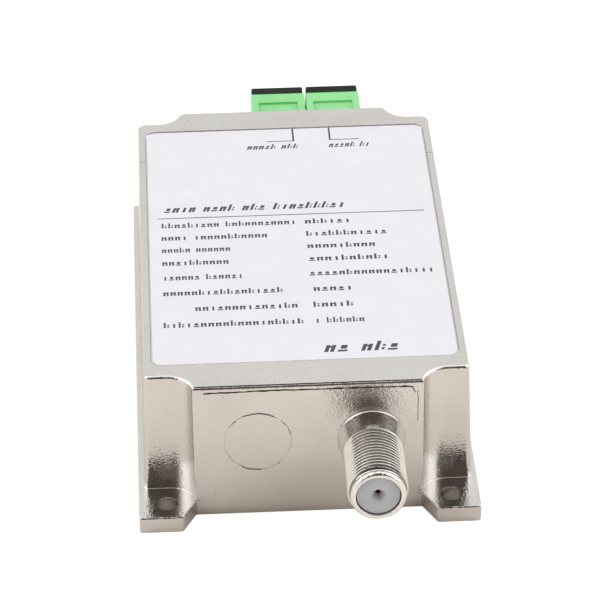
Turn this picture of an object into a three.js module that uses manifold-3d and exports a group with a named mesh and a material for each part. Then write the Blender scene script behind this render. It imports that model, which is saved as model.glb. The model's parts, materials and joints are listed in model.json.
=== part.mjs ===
// A passive optical-to-RF converter for cable television over fibre: a die-cast case with four screw ears,
// two SC/APC fibre ports with dust caps at the back and one F-type coaxial port at the front.
// Millimetres. +Z up, +Y towards the fibre ports, origin under the middle of the base.
import * as THREE from "three";
import { mergeVertices } from "three/addons/utils/BufferGeometryUtils.js";
import Module from "manifold-3d";

const wasm = await Module();
wasm.setup();

// ---------------------------------------------------------------- driving dimensions

// Case
const CASE_HEIGHT = 24.1;
const TOP_HALF_WIDTH = 25.6;
const SIDE_DRAFT = 0.67; // each side wall leans out by this much from top to base
const FACE_Y = 44.1; // central front and back faces, either side of the origin
const WALL = 2;
const OUTER_CORNER = 0.8;
const CHANNEL_RADIUS = 4.1; // screwdriver channel above each ear
const CHANNEL_STEPS = 6;
const EAR_X = 22.2; // axis of the screwdriver channel
const EAR_Y = 44.6;
const EAR_THICKNESS = 2.9;
const EAR_REACH_Y = 48.7;
const EAR_INNER_X = 20.15;
const EAR_ROOT_X = 17.9;
const EAR_CORNER = 0.6;
const EAR_HOLE_X = 22.65;
const EAR_HOLE_Y = 44.85;
const EAR_HOLE_RADIUS = 1.7;
const FLANGE_HALF_WIDTH = 27.1;
const GAP = 0.1; // clearance between pieces that are fitted together
const SEAT = 0.02; // clearance under pieces that rest on another

// Label recess in the top face
const LABEL_HALF_WIDTH = 24.4;
const LABEL_FRONT_Y = -37.1;
const LABEL_BACK_Y = 37.9;
const LABEL_CORNER = 1.7;
const LABEL_RECESS = 0.35;
const LABEL_FILM = 0.2;
const LABEL_MARGIN = 0.25;

// Base cover and its screws
const COVER_THICKNESS = 1;
const COVER_LEDGE = 0.9;
const COVER_CLEARANCE = 0.2;
const COVER_SCREW_X = 20.6;
const COVER_SCREW_Y = 35.6;
const BOSS_RADIUS = 2.7;
const PILOT_RADIUS = 0.85;
const PILOT_DEPTH = 8;

// Ports: all three lie at one height
const PORT_Z = 13.7;
const F_PORT_X = 9.9;
const BLANK_X = -8; // closed position for a second coaxial port
const BLANK_RADIUS = 5.3;
const BLANK_GROOVE = 0.12;

// F-type port, 3/8 inch by 32 threads to the inch
const COLLAR_RADIUS = 5.4;
const COLLAR_LIP = 0.4; // straight part, before the taper
const COLLAR_LENGTH = 4.2;
const THREAD_RADIUS = 4.75;
const THREAD_ROOT = 4.3;
const THREAD_PITCH = 25.4 / 32;
const THREAD_TURNS = 13;
const THREAD_RUNOUT = 0.4;
const NOSE_RADIUS = 4.35;
const NOSE_CHAMFER = 0.3;
const NOSE_Y = -60.3;
const F_BORE_RADIUS = 3.5;
const F_SPIGOT_RADIUS = 4.6;
const F_SPIGOT_END_Y = -40.2;
const F_NUT_RADIUS = 6.9;

// SC adapters: the wide way of an SC plug stands upright here
const ADAPTER_PAIR_X = 4.67;
const ADAPTER_PITCH = 9.9;
const ADAPTER_WIDTH = 9.7;
const ADAPTER_HEIGHT = 12.9;
const ADAPTER_REACH = 13.5; // from the back face to the mouth
const ADAPTER_REAR = 15.5;
const SOCKET_WIDTH = 7.5;
const SOCKET_HEIGHT = 9.1;
const POCKET_WIDTH = 7.1;
const POCKET_FROM_MOUTH = 3.2;
const POCKET_LENGTH = 8.5;
const POCKET_DEPTH = 0.4;
const ADAPTER_FLANGE_HEIGHT = 16;
const ADAPTER_FLANGE_THICKNESS = 1.5;
const FERRULE_RADIUS = 1.25;

// Dust caps
const CAP_WIDTH = 9.3;
const CAP_HEIGHT = 12.5;
const CAP_END = 16.2; // from the back face
const CAP_SKIRT_WIDTH = 7.2;
const CAP_SKIRT_HEIGHT = 8.8;
const CAP_SKIRT_WALL = 1;
const CAP_SKIRT_DEPTH = 5.5;

// Circuit board, hung from posts under the top of the case
const BOARD_TOP = 13.1;
const BOARD_THICKNESS = 1.6;
const BOARD_LEFT = -16;
const BOARD_RIGHT = 17.4;
const BOARD_FRONT = -37.5;
const BOARD_BACK = -10.5;
const BOARD_HOLES = [
  [-13, -34.4],
  [-13, -13.6],
  [5, -13.6],
];
const POST_RADIUS = 2.2;

// Photodiode with its fibre pigtail
const DIODE_X = 13.5;
const DIODE_Z = 16.1;

// Wavelength filter and fibres
const FILTER_X = -19.5;
const FILTER_Z = 7.2;
const FILTER_FRONT = -8;
const FILTER_BACK = 12;
const FILTER_RADIUS = 2.75;
const FILTER_BOOT = 4;
const FIBRE_RADIUS = 0.45;
const FIBRE_SIDES = 8;
const FIBRE_STEP = 2.2;
const FIBRE_OFFSET = 0.55; // two fibres side by side in one boot
const BOOT_END_Y = 6.1;

// ---------------------------------------------------------------- solids

function toSolid(geometry) {
  const bare = geometry.clone();
  bare.deleteAttribute("normal");
  bare.deleteAttribute("uv");
  const merged = mergeVertices(bare, 1e-4);
  return new wasm.Manifold(
    new wasm.Mesh({
      numProp: 3,
      vertProperties: merged.attributes.position.array,
      triVerts: new Uint32Array(merged.index.array),
    }),
  );
}

function toGeometry(solid) {
  const mesh = solid.getMesh();
  const geometry = new THREE.BufferGeometry();
  geometry.setAttribute("position", new THREE.BufferAttribute(mesh.vertProperties, 3));
  geometry.setIndex(new THREE.BufferAttribute(mesh.triVerts, 1));
  const flat = geometry.toNonIndexed();
  flat.computeVertexNormals();
  return flat;
}

function join(...geometries) {
  return toGeometry(geometries.map(toSolid).reduce((whole, piece) => whole.add(piece)));
}

function cut(geometry, ...tools) {
  return toGeometry(tools.map(toSolid).reduce((whole, tool) => whole.subtract(tool), toSolid(geometry)));
}

// ---------------------------------------------------------------- shapes

// A box from its low and high corner.
function block([x0, y0, z0], [x1, y1, z1]) {
  const box = new THREE.BoxGeometry(x1 - x0, y1 - y0, z1 - z0);
  return box.translate((x0 + x1) / 2, (y0 + y1) / 2, (z0 + z1) / 2);
}

// A box centred on the local Y axis.
function bar(width, height, y0, y1) {
  return block([-width / 2, y0, -height / 2], [width / 2, y1, height / 2]);
}

// A closed outline through corners [x, y, radius], rounded where a radius is given.
function roundedOutline(corners, steps = 4) {
  const points = [];
  corners.forEach(([x, y, radius = 0], i) => {
    const corner = new THREE.Vector2(x, y);
    if (radius === 0) {
      points.push(corner);
      return;
    }
    const [beforeX, beforeY] = corners.at(i - 1);
    const [afterX, afterY] = corners[(i + 1) % corners.length];
    const toBefore = new THREE.Vector2(beforeX - x, beforeY - y).normalize();
    const toAfter = new THREE.Vector2(afterX - x, afterY - y).normalize();
    const half = Math.acos(toBefore.dot(toAfter)) / 2;
    const reach = radius / Math.tan(half);
    const start = corner.clone().addScaledVector(toBefore, reach);
    const end = corner.clone().addScaledVector(toAfter, reach);
    const bisector = toBefore.clone().add(toAfter).normalize();
    const centre = corner.clone().addScaledVector(bisector, radius / Math.sin(half));
    const from = start.clone().sub(centre).angle();
    const turn = end.clone().sub(centre).angle() - from;
    const sweep = Math.atan2(Math.sin(turn), Math.cos(turn));
    for (let k = 0; k <= steps; k++) {
      const angle = from + (sweep * k) / steps;
      points.push(new THREE.Vector2(Math.cos(angle), Math.sin(angle)).multiplyScalar(radius).add(centre));
    }
  });
  return points;
}

// An outline in plan, raised from z0 to z1.
function prism(outline, z0, z1) {
  const shape = new THREE.Shape(outline);
  const raised = new THREE.ExtrudeGeometry(shape, { depth: z1 - z0, bevelEnabled: false });
  return raised.translate(0, 0, z0);
}

function roundedRectangle(x0, y0, x1, y1, radius) {
  return roundedOutline([
    [x0, y0, radius],
    [x1, y0, radius],
    [x1, y1, radius],
    [x0, y1, radius],
  ]);
}

// Mirrors one corner's points, listed from the end face to the side, into a whole outline.
function fourCorners(quarter) {
  const at = (sx, sy) => quarter.map(([x, y, radius]) => [sx * x, sy * y, radius]);
  return roundedOutline([...at(1, -1), ...at(1, 1).reverse(), ...at(-1, 1), ...at(-1, -1).reverse()]);
}

// Plan of the walls: each corner is set back, with a round channel up from the ear for a screwdriver.
function casePlan(halfWidth, faceY, channelRadius, cornerRadius) {
  const end = Math.acos((EAR_Y - faceY) / channelRadius);
  const quarter = [];
  for (let k = 0; k <= CHANNEL_STEPS; k++) {
    const angle = end * (1 - k / CHANNEL_STEPS);
    const x = EAR_X - channelRadius * Math.sin(angle);
    quarter.push([x, EAR_Y - channelRadius * Math.cos(angle), 0]);
  }
  quarter.push([halfWidth, EAR_Y - channelRadius, cornerRadius]);
  return fourCorners(quarter);
}

// Leans the side walls outwards towards the base.
function withDraft(geometry) {
  const position = geometry.getAttribute("position");
  for (let i = 0; i < position.count; i++) {
    const x = position.getX(i);
    if (Math.abs(x) > EAR_X + GAP) {
      position.setX(i, x + Math.sign(x) * SIDE_DRAFT * (1 - position.getZ(i) / CASE_HEIGHT));
    }
  }
  return geometry;
}

// A turned piece about the Y axis. The profile [radius, y] runs with the material on its left,
// when radius is drawn to the right and y upwards.
function turned(profile, segments = 28) {
  return new THREE.LatheGeometry(
    profile.map(([radius, y]) => new THREE.Vector2(radius, y)),
    segments,
  );
}

// The same, about the Z axis.
function turnedUpright(profile, segments = 16) {
  return turned(profile, segments).rotateX(Math.PI / 2);
}

// A plain rod along Y or along Z.
function rod(radius, y0, y1, segments = 28) {
  return new THREE.CylinderGeometry(radius, radius, y1 - y0, segments).translate(0, (y0 + y1) / 2, 0);
}

function uprightRod(radius, z0, z1, segments = 16) {
  return rod(radius, z0, z1, segments).rotateX(Math.PI / 2);
}

// ---------------------------------------------------------------- materials

function finish(color, roughness, metalness) {
  return new THREE.MeshStandardMaterial({ color, roughness, metalness, flatShading: true });
}

const NICKEL = finish(0xc8beb4, 0.3, 1);
const STEEL = finish(0x9da1a6, 0.4, 1);
const BRASS = finish(0xc9a24b, 0.3, 1);
const GOLD = finish(0xd8b25a, 0.25, 1);
const PAPER = finish(0xe8e7ec, 0.5, 0);
const GREEN = finish(0x5fd071, 0.45, 0);
const BLACK = finish(0x17181a, 0.5, 0);
const IVORY = finish(0xe9e4d2, 0.5, 0);
const WHITE = finish(0xdfe2e4, 0.45, 0);
const CERAMIC = finish(0xf3f3ef, 0.2, 0);
const BOARD_GREEN = finish(0x1d6b3c, 0.5, 0);
const FERRITE = finish(0x35332f, 0.7, 0);
const COPPER = finish(0xb8733a, 0.35, 1);
const CHIP_TAN = finish(0xa88a64, 0.55, 0);
const FIBRE_WHITE = finish(0xf0efe6, 0.5, 0);
const FOAM = finish(0x3a3b3d, 0.95, 0);

const part = new THREE.Group();

function add(parent, name, geometry, material, x = 0, y = 0, z = 0) {
  const mesh = new THREE.Mesh(geometry, material);
  mesh.name = name;
  mesh.position.set(x, y, z);
  parent.add(mesh);
}

// ---------------------------------------------------------------- case

const CORNERS = [
  [1, 1],
  [-1, 1],
  [-1, -1],
  [1, -1],
];

function caseBody() {
  const wallPlan = casePlan(TOP_HALF_WIDTH, FACE_Y, CHANNEL_RADIUS, OUTER_CORNER);
  const walls = withDraft(prism(wallPlan, 0, CASE_HEIGHT));
  const base = prism(
    fourCorners([
      [EAR_ROOT_X, FACE_Y, 0],
      [EAR_INNER_X, EAR_REACH_Y, EAR_CORNER],
      [FLANGE_HALF_WIDTH, EAR_REACH_Y, EAR_CORNER],
    ]),
    0,
    EAR_THICKNESS,
  );
  const ceiling = CASE_HEIGHT - WALL;
  const below = -1;
  const cavity = withDraft(
    prism(casePlan(TOP_HALF_WIDTH - WALL, FACE_Y - WALL, CHANNEL_RADIUS + WALL, 0), below, ceiling),
  );
  const coverSeat = prism(coverPlan(0), below, COVER_THICKNESS + SEAT);
  const hollow = cut(join(walls, base), cavity, coverSeat);

  const bosses = CORNERS.map(([sx, sy]) =>
    uprightRod(BOSS_RADIUS, COVER_THICKNESS + SEAT, ceiling + GAP).translate(
      sx * COVER_SCREW_X,
      sy * COVER_SCREW_Y,
      0,
    ),
  );
  const posts = BOARD_HOLES.map(([x, y]) =>
    uprightRod(POST_RADIUS, BOARD_TOP + SEAT, ceiling + GAP).translate(x, y, 0),
  );
  const bossPilots = CORNERS.map(([sx, sy]) =>
    uprightRod(PILOT_RADIUS, 0, COVER_THICKNESS + PILOT_DEPTH).translate(
      sx * COVER_SCREW_X,
      sy * COVER_SCREW_Y,
      0,
    ),
  );
  const postPilots = BOARD_HOLES.map(([x, y]) =>
    uprightRod(PILOT_RADIUS, BOARD_TOP - 1, BOARD_TOP + PILOT_DEPTH - 2).translate(x, y, 0),
  );
  const earHoles = CORNERS.map(([sx, sy]) =>
    uprightRod(EAR_HOLE_RADIUS, below, EAR_THICKNESS + 1, 24).translate(sx * EAR_HOLE_X, sy * EAR_HOLE_Y, 0),
  );

  const portHole = rod(F_SPIGOT_RADIUS + GAP, -FACE_Y - 1, -FACE_Y + WALL + 1).translate(F_PORT_X, 0, PORT_Z);
  const halfWindow = (ADAPTER_PITCH + ADAPTER_WIDTH) / 2 + 2 * GAP;
  const halfWindowHeight = ADAPTER_HEIGHT / 2 + 2 * GAP;
  const fibreWindow = block(
    [ADAPTER_PAIR_X - halfWindow, FACE_Y - WALL - 1, PORT_Z - halfWindowHeight],
    [ADAPTER_PAIR_X + halfWindow, FACE_Y + 1, PORT_Z + halfWindowHeight],
  );
  const labelRecess = prism(labelPlan(0), CASE_HEIGHT - LABEL_RECESS, CASE_HEIGHT + 1);
  return cut(
    join(hollow, ...bosses, ...posts),
    ...bossPilots,
    ...postPilots,
    ...earHoles,
    portHole,
    fibreWindow,
    labelRecess,
    blankGroove(),
  );
}

// The fine round line of the closed port position.
function blankGroove() {
  const inner = BLANK_RADIUS - BLANK_GROOVE;
  const outer = BLANK_RADIUS + BLANK_GROOVE;
  const front = -FACE_Y - 1;
  const floor = -FACE_Y + BLANK_GROOVE;
  const ring = turned([
    [inner, front],
    [outer, front],
    [outer, floor],
    [inner, floor],
    [inner, front],
  ]);
  return ring.translate(BLANK_X, 0, PORT_Z);
}

function coverPlan(clearance) {
  const widen = COVER_LEDGE - clearance;
  const halfWidth = TOP_HALF_WIDTH - WALL + SIDE_DRAFT + widen;
  return casePlan(halfWidth, FACE_Y - WALL + widen, CHANNEL_RADIUS + WALL - widen, 0);
}

function labelPlan(margin) {
  const halfWidth = LABEL_HALF_WIDTH - margin;
  return roundedRectangle(
    -halfWidth,
    LABEL_FRONT_Y + margin,
    halfWidth,
    LABEL_BACK_Y - margin,
    LABEL_CORNER - margin,
  );
}

const SCREW_HEAD_RADIUS = 1.9;
const SCREW_SHANK_RADIUS = 0.72;
const COVER_SCREW_TIP = 7;
const BOARD_SCREW_BITE = 4.5;

function baseCover() {
  const sheet = prism(coverPlan(COVER_CLEARANCE), 0, COVER_THICKNESS);
  const sinks = CORNERS.map(([sx, sy]) =>
    turnedUpright([
      [0, -0.5],
      [SCREW_HEAD_RADIUS + 0.6, -0.5],
      [SCREW_HEAD_RADIUS + 0.3, 0],
      [1.1, COVER_THICKNESS],
      [1.1, COVER_THICKNESS + 0.5],
      [0, COVER_THICKNESS + 0.5],
    ]).translate(sx * COVER_SCREW_X, sy * COVER_SCREW_Y, 0),
  );
  return cut(sheet, ...sinks);
}

// A cross-recessed screw that points up; head is the profile of its head, from below.
function crossScrew(head, headBottom, tip) {
  const body = turnedUpright([
    [0, headBottom],
    ...head,
    [SCREW_SHANK_RADIUS, tip - 0.6],
    [0, tip],
  ]);
  const slot = 0.25;
  const reach = 1;
  const deep = headBottom + 0.5;
  const alongX = block([-reach, -slot, headBottom - 1], [reach, slot, deep]);
  const alongY = block([-slot, -reach, headBottom - 1], [slot, reach, deep]);
  return cut(body, alongX, alongY);
}

function coverScrew() {
  const bottom = 0.08;
  const head = [
    [SCREW_HEAD_RADIUS, bottom],
    [SCREW_SHANK_RADIUS, bottom + 1.1],
  ];
  return crossScrew(head, bottom, COVER_SCREW_TIP);
}

function boardScrew() {
  const under = BOARD_TOP - BOARD_THICKNESS - SEAT;
  const head = [
    [1.6, under - 1],
    [1.8, under - 0.6],
    [1.8, under],
    [SCREW_SHANK_RADIUS, under],
  ];
  return crossScrew(head, under - 1, BOARD_TOP + BOARD_SCREW_BITE);
}

add(part, "case_body", caseBody(), NICKEL);
add(part, "base_cover", baseCover(), STEEL);
CORNERS.forEach(([sx, sy], i) => {
  add(part, `cover_screw_${i + 1}`, coverScrew(), STEEL, sx * COVER_SCREW_X, sy * COVER_SCREW_Y, 0);
});
const labelBottom = CASE_HEIGHT - LABEL_RECESS + SEAT;
add(part, "top_label", prism(labelPlan(LABEL_MARGIN), labelBottom, labelBottom + LABEL_FILM), PAPER);

// ---------------------------------------------------------------- F-type port

function threadProfile(start) {
  const points = [];
  for (let turn = 0; turn < THREAD_TURNS; turn++) {
    const y = start - turn * THREAD_PITCH;
    points.push([THREAD_ROOT, y]);
    points.push([THREAD_RADIUS, y - THREAD_PITCH / 2]);
  }
  return points;
}

function fPortShell() {
  const seatY = -FACE_Y - SEAT;
  const collarEnd = seatY - COLLAR_LENGTH;
  const threadStart = collarEnd - THREAD_RUNOUT;
  const threadEnd = threadStart - THREAD_TURNS * THREAD_PITCH;
  return turned([
    [F_BORE_RADIUS, F_SPIGOT_END_Y],
    [F_SPIGOT_RADIUS, F_SPIGOT_END_Y],
    [F_SPIGOT_RADIUS, seatY],
    [COLLAR_RADIUS, seatY],
    [COLLAR_RADIUS, seatY - COLLAR_LIP],
    [THREAD_RADIUS, collarEnd],
    [THREAD_ROOT, collarEnd - 0.2],
    ...threadProfile(threadStart),
    [THREAD_ROOT, threadEnd],
    [NOSE_RADIUS, threadEnd - 0.1],
    [NOSE_RADIUS, NOSE_Y + NOSE_CHAMFER],
    [NOSE_RADIUS - NOSE_CHAMFER, NOSE_Y],
    [F_BORE_RADIUS, NOSE_Y],
    [F_BORE_RADIUS, F_SPIGOT_END_Y],
  ].reverse());
}

const CONTACT_RADIUS = 0.85;
const FUNNEL_RADIUS = 1.15;
const FUNNEL_THROAT = 0.6;
const INSULATOR_RECESS = 0.35;

function fPortInsulator() {
  const front = NOSE_Y + INSULATOR_RECESS;
  const rear = F_SPIGOT_END_Y - 0.3;
  const radius = F_BORE_RADIUS - GAP;
  return turned([
    [FUNNEL_RADIUS, front],
    [radius, front],
    [radius, rear],
    [CONTACT_RADIUS + GAP, rear],
    [CONTACT_RADIUS + GAP, front + 1.3],
    [FUNNEL_THROAT, front + 1.2],
    [FUNNEL_THROAT, front + 0.8],
    [FUNNEL_RADIUS, front],
  ]);
}

function fPortContact() {
  const front = NOSE_Y + INSULATOR_RECESS + 1.5;
  const pin = 0.5;
  return turned(
    [
      [0, front + 12],
      [pin, front + 12],
      [pin, front],
      [CONTACT_RADIUS, front],
      [CONTACT_RADIUS, F_SPIGOT_END_Y],
      [pin, F_SPIGOT_END_Y + 0.3],
      [pin, BOARD_FRONT + 3],
      [0, BOARD_FRONT + 3],
    ],
    16,
  );
}

function fPortNut() {
  const wallFace = -FACE_Y + WALL;
  const hexagon = rod(F_NUT_RADIUS, wallFace + GAP, wallFace + GAP + 1.6, 6);
  return cut(hexagon, rod(F_SPIGOT_RADIUS + GAP, wallFace - 1, wallFace + 3));
}

const fPort = new THREE.Group();
fPort.position.set(F_PORT_X, 0, PORT_Z);
part.add(fPort);
add(fPort, "f_port_shell", fPortShell(), NICKEL);
add(fPort, "f_port_insulator", fPortInsulator(), WHITE);
add(fPort, "f_port_contact", fPortContact(), GOLD);
add(fPort, "f_port_nut", fPortNut(), BRASS);

// ---------------------------------------------------------------- SC ports
// Local frame: Y = 0 at the case's back face, on the port's axis.

const HALVES_MEET = -WALL;

// A recessed pocket in the top and bottom face of an adapter.
function facePockets(y0, y1) {
  const top = ADAPTER_HEIGHT / 2;
  return [1, -1].map((side) => {
    const z = [side * (top - POCKET_DEPTH), side * (top + 1)].sort((a, b) => a - b);
    return block([-POCKET_WIDTH / 2, y0, z[0]], [POCKET_WIDTH / 2, y1, z[1]]);
  });
}

function keyway(y0, y1) {
  const depth = 0.5;
  const halfSlot = 1.2;
  return block([-SOCKET_WIDTH / 2 - depth, y0, -halfSlot], [0, y1, halfSlot]);
}

function adapterOuter() {
  const shell = bar(ADAPTER_WIDTH, ADAPTER_HEIGHT, HALVES_MEET + SEAT, ADAPTER_REACH);
  const socket = bar(SOCKET_WIDTH, SOCKET_HEIGHT, HALVES_MEET - 1, ADAPTER_REACH + 1);
  const pocketEnd = ADAPTER_REACH - POCKET_FROM_MOUTH;
  const pockets = facePockets(pocketEnd - POCKET_LENGTH, pocketEnd);
  return cut(shell, socket, ...pockets, keyway(4, ADAPTER_REACH + 1));
}

function adapterInner() {
  const flangeFront = HALVES_MEET - SEAT;
  const shell = bar(ADAPTER_WIDTH, ADAPTER_HEIGHT, -ADAPTER_REAR, flangeFront);
  const flange = bar(ADAPTER_WIDTH, ADAPTER_FLANGE_HEIGHT, flangeFront - ADAPTER_FLANGE_THICKNESS, flangeFront);
  const socket = bar(SOCKET_WIDTH, SOCKET_HEIGHT, -ADAPTER_REAR - 1, HALVES_MEET + 1);
  return cut(join(shell, flange), socket, keyway(-ADAPTER_REAR - 1, -8));
}

const SLEEVE_RADIUS = 1.65;
const HOLDER_BORE = SLEEVE_RADIUS + GAP;
const HOLDER_RADIUS = 2.25;
const ARM_INNER = 2.55;
const ARM_OUTER = 3.25;
const ARM_HALF_WIDTH = 1.3;
const ARM_REAR = -8;
const ARM_FRONT = 5;
const TOOTH_LENGTH = 0.8;

function latchHolder() {
  const plate = bar(SOCKET_WIDTH - 2 * GAP, SOCKET_HEIGHT - 2 * GAP, -2.8, -1.2);
  const barrel = rod(HOLDER_RADIUS, -8.4, 4.6, 16);
  const arms = [];
  for (const side of [1, -1]) {
    const low = Math.min(side * ARM_INNER, side * ARM_OUTER);
    const high = Math.max(side * ARM_INNER, side * ARM_OUTER);
    arms.push(block([-ARM_HALF_WIDTH, ARM_REAR, low], [ARM_HALF_WIDTH, ARM_FRONT, high]));
    const tooth = [side * (ARM_INNER - 0.2), side * ARM_OUTER].sort((a, b) => a - b);
    const toothRear = ARM_FRONT - TOOTH_LENGTH;
    arms.push(block([-ARM_HALF_WIDTH, toothRear, tooth[0]], [ARM_HALF_WIDTH, ARM_FRONT, tooth[1]]));
  }
  const bore = rod(HOLDER_BORE, -9, 5.5, 16);
  return cut(join(plate, barrel, ...arms), bore);
}

function splitSleeve() {
  const tube = turned(
    [
      [SLEEVE_RADIUS - 0.3, -7.7],
      [SLEEVE_RADIUS, -7.7],
      [SLEEVE_RADIUS, 3.7],
      [SLEEVE_RADIUS - 0.3, 3.7],
      [SLEEVE_RADIUS - 0.3, -7.7],
    ],
    16,
  );
  return cut(tube, block([-0.25, -8, 0], [0.25, 4, 3]));
}

// Spring clip behind the flange, open on the side of the other adapter.
function springClip(openSide) {
  const thickness = 0.35;
  const length = 2.6;
  const front = HALVES_MEET - ADAPTER_FLANGE_THICKNESS - 0.3;
  const inner = bar(ADAPTER_WIDTH + 2 * GAP, ADAPTER_HEIGHT + 2 * GAP, front - 4, front + 1);
  const outer = bar(
    ADAPTER_WIDTH + 2 * GAP + 2 * thickness,
    ADAPTER_HEIGHT + 2 * GAP + 2 * thickness,
    front - length,
    front,
  );
  const half = ADAPTER_WIDTH / 2;
  const opening = bar(2, ADAPTER_HEIGHT + 4, front - 4, front + 1).translate(openSide * (half + 0.8), 0, 0);
  return cut(outer, inner, opening);
}

const PIGTAIL_BORE = 0.65; // clear of a fibre's 0.9 mm buffer
const PLUG_FRONT = -4;
const PLUG_REAR = -26.5;
const PLUG_FLOOR = -14;
const PLUG_MOUTH_WIDTH = 5.3;
const PLUG_MOUTH_HEIGHT = 7.3;
const GRIP_RIBS = 4;
const GRIP_PITCH = 1.4;
const GRIP_GROOVE = 0.6;

function plugHousing() {
  const body = bar(SOCKET_WIDTH - 4 * GAP, SOCKET_HEIGHT - 4 * GAP, PLUG_REAR, PLUG_FRONT);
  const mouth = bar(PLUG_MOUTH_WIDTH, PLUG_MOUTH_HEIGHT, PLUG_FLOOR, PLUG_FRONT + 1);
  const ferruleBore = rod(FERRULE_RADIUS + GAP, PLUG_REAR - 1, PLUG_FLOOR + 1, 16);
  const bootRecess = rod(2.6, PLUG_REAR - 1, PLUG_REAR + 2.2, 16);
  const grips = [];
  for (let k = 0; k < GRIP_RIBS; k++) {
    const y = PLUG_REAR + 2 + GRIP_PITCH * k;
    for (const side of [1, -1]) {
      const groove = bar(SOCKET_WIDTH + 2, GRIP_GROOVE, y, y + GRIP_GROOVE);
      grips.push(groove.translate(0, 0, side * (SOCKET_HEIGHT / 2 - 0.2)));
    }
  }
  return cut(body, mouth, ferruleBore, bootRecess, ...grips);
}

function ferrule() {
  const rear = -17;
  return turned(
    [
      [0, rear],
      [FERRULE_RADIUS, rear],
      [FERRULE_RADIUS, -2.7],
      [FERRULE_RADIUS - 0.4, HALVES_MEET - 0.1],
      [0, HALVES_MEET - 0.1],
    ],
    16,
  );
}

function plugBoot() {
  const front = PLUG_REAR + 2;
  const end = BOOT_END_Y - FACE_Y;
  const rootRadius = 2.3;
  return turned(
    [
      [PIGTAIL_BORE, end],
      [1.2, end],
      [1.6, end + 5],
      [rootRadius, PLUG_REAR - 0.6],
      [rootRadius, front],
      [PIGTAIL_BORE, front],
      [PIGTAIL_BORE, end],
    ],
    16,
  );
}

function dustCap() {
  const skirtInner = [CAP_SKIRT_WIDTH - 2 * CAP_SKIRT_WALL, CAP_SKIRT_HEIGHT - 2 * CAP_SKIRT_WALL];
  const seat = ADAPTER_REACH + SEAT;
  const skirtEnd = ADAPTER_REACH - CAP_SKIRT_DEPTH;
  const plate = bar(CAP_WIDTH, CAP_HEIGHT, seat, CAP_END);
  const skirt = bar(CAP_SKIRT_WIDTH, CAP_SKIRT_HEIGHT, skirtEnd, seat + 1);
  const hollow = bar(...skirtInner, skirtEnd - 1, seat);
  return cut(join(plate, skirt), hollow);
}

function addPort(name, side) {
  const port = new THREE.Group();
  port.position.set(ADAPTER_PAIR_X + (side * ADAPTER_PITCH) / 2, FACE_Y, PORT_Z);
  part.add(port);
  add(port, `sc_${name}_housing_outer`, adapterOuter(), GREEN);
  add(port, `sc_${name}_housing_inner`, adapterInner(), GREEN);
  add(port, `sc_${name}_latch_holder`, latchHolder(), IVORY);
  add(port, `sc_${name}_sleeve`, splitSleeve(), CERAMIC);
  add(port, `sc_${name}_clip`, springClip(-side), STEEL);
  add(port, `sc_${name}_plug_housing`, plugHousing(), GREEN);
  add(port, `sc_${name}_plug_ferrule`, ferrule(), CERAMIC);
  add(port, `sc_${name}_plug_boot`, plugBoot(), GREEN);
  add(port, `dust_cap_${name}`, dustCap(), BLACK);
}

addPort("out", -1);
addPort("in", 1);

// ---------------------------------------------------------------- circuit board

function circuitBoard() {
  const outline = roundedRectangle(BOARD_LEFT, BOARD_FRONT, BOARD_RIGHT, BOARD_BACK, 0.8);
  const sheet = prism(outline, BOARD_TOP - BOARD_THICKNESS, BOARD_TOP);
  const holes = BOARD_HOLES.map(([x, y]) => uprightRod(1.1, BOARD_TOP - 3, BOARD_TOP + 1).translate(x, y, 0));
  return cut(sheet, ...holes);
}

function chip(x, y, length, width, height) {
  const low = [x - length / 2, y - width / 2, BOARD_TOP + SEAT];
  return block(low, [x + length / 2, y + width / 2, BOARD_TOP + SEAT + height]);
}

const CORE_X = 4;
const CORE_Y = -25;
const CORE_HEIGHT = 4;
const CORE_HOLE_X = 1.25;

// A ferrite block with two holes, for the matching transformer.
function transformerCore() {
  const core = chip(CORE_X, CORE_Y, 5.6, 5, CORE_HEIGHT);
  const middle = BOARD_TOP + SEAT + CORE_HEIGHT / 2;
  const holes = [1, -1].map((side) =>
    rod(0.8, CORE_Y - 4, CORE_Y + 4, 16).translate(CORE_X + side * CORE_HOLE_X, 0, middle),
  );
  return cut(core, ...holes);
}

// The winding passes through one hole of the core and back through the other.
function transformerWinding() {
  const strand = 0.35;
  const reach = 3.3;
  const middle = BOARD_TOP + SEAT + CORE_HEIGHT / 2;
  const loop = (widen) =>
    prism(
      roundedRectangle(
        CORE_X - CORE_HOLE_X - widen,
        CORE_Y - reach - widen,
        CORE_X + CORE_HOLE_X + widen,
        CORE_Y + reach + widen,
        0.5 + widen,
      ),
      middle - strand * (widen > 0 ? 1 : 3),
      middle + strand * (widen > 0 ? 1 : 3),
    );
  return cut(loop(strand), loop(-strand));
}

function inductorSpool() {
  const z = BOARD_TOP + SEAT;
  return turnedUpright([
    [0, z],
    [1.8, z],
    [1.8, z + 0.6],
    [1.2, z + 0.8],
    [1.2, z + 2.2],
    [1.8, z + 2.4],
    [1.8, z + 3],
    [0, z + 3],
  ]);
}

add(part, "circuit_board", circuitBoard(), BOARD_GREEN);
BOARD_HOLES.forEach(([x, y], i) => {
  add(part, `board_screw_${i + 1}`, boardScrew(), STEEL, x, y, 0);
});
add(part, "rf_transformer_core", transformerCore(), FERRITE);
add(part, "rf_transformer_winding", transformerWinding(), COPPER);
add(part, "matching_inductor", inductorSpool(), FERRITE, -5, -26, 0);
add(part, "output_capacitor", chip(F_PORT_X, -31.5, 1.3, 2.2, 1.2), CHIP_TAN);
add(part, "bypass_capacitor", chip(-1.5, -19, 2.2, 1.3, 1.2), CHIP_TAN);
add(part, "load_resistor", chip(10, -22, 2.2, 1.3, 0.6), BLACK);

// ---------------------------------------------------------------- photodiode

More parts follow.
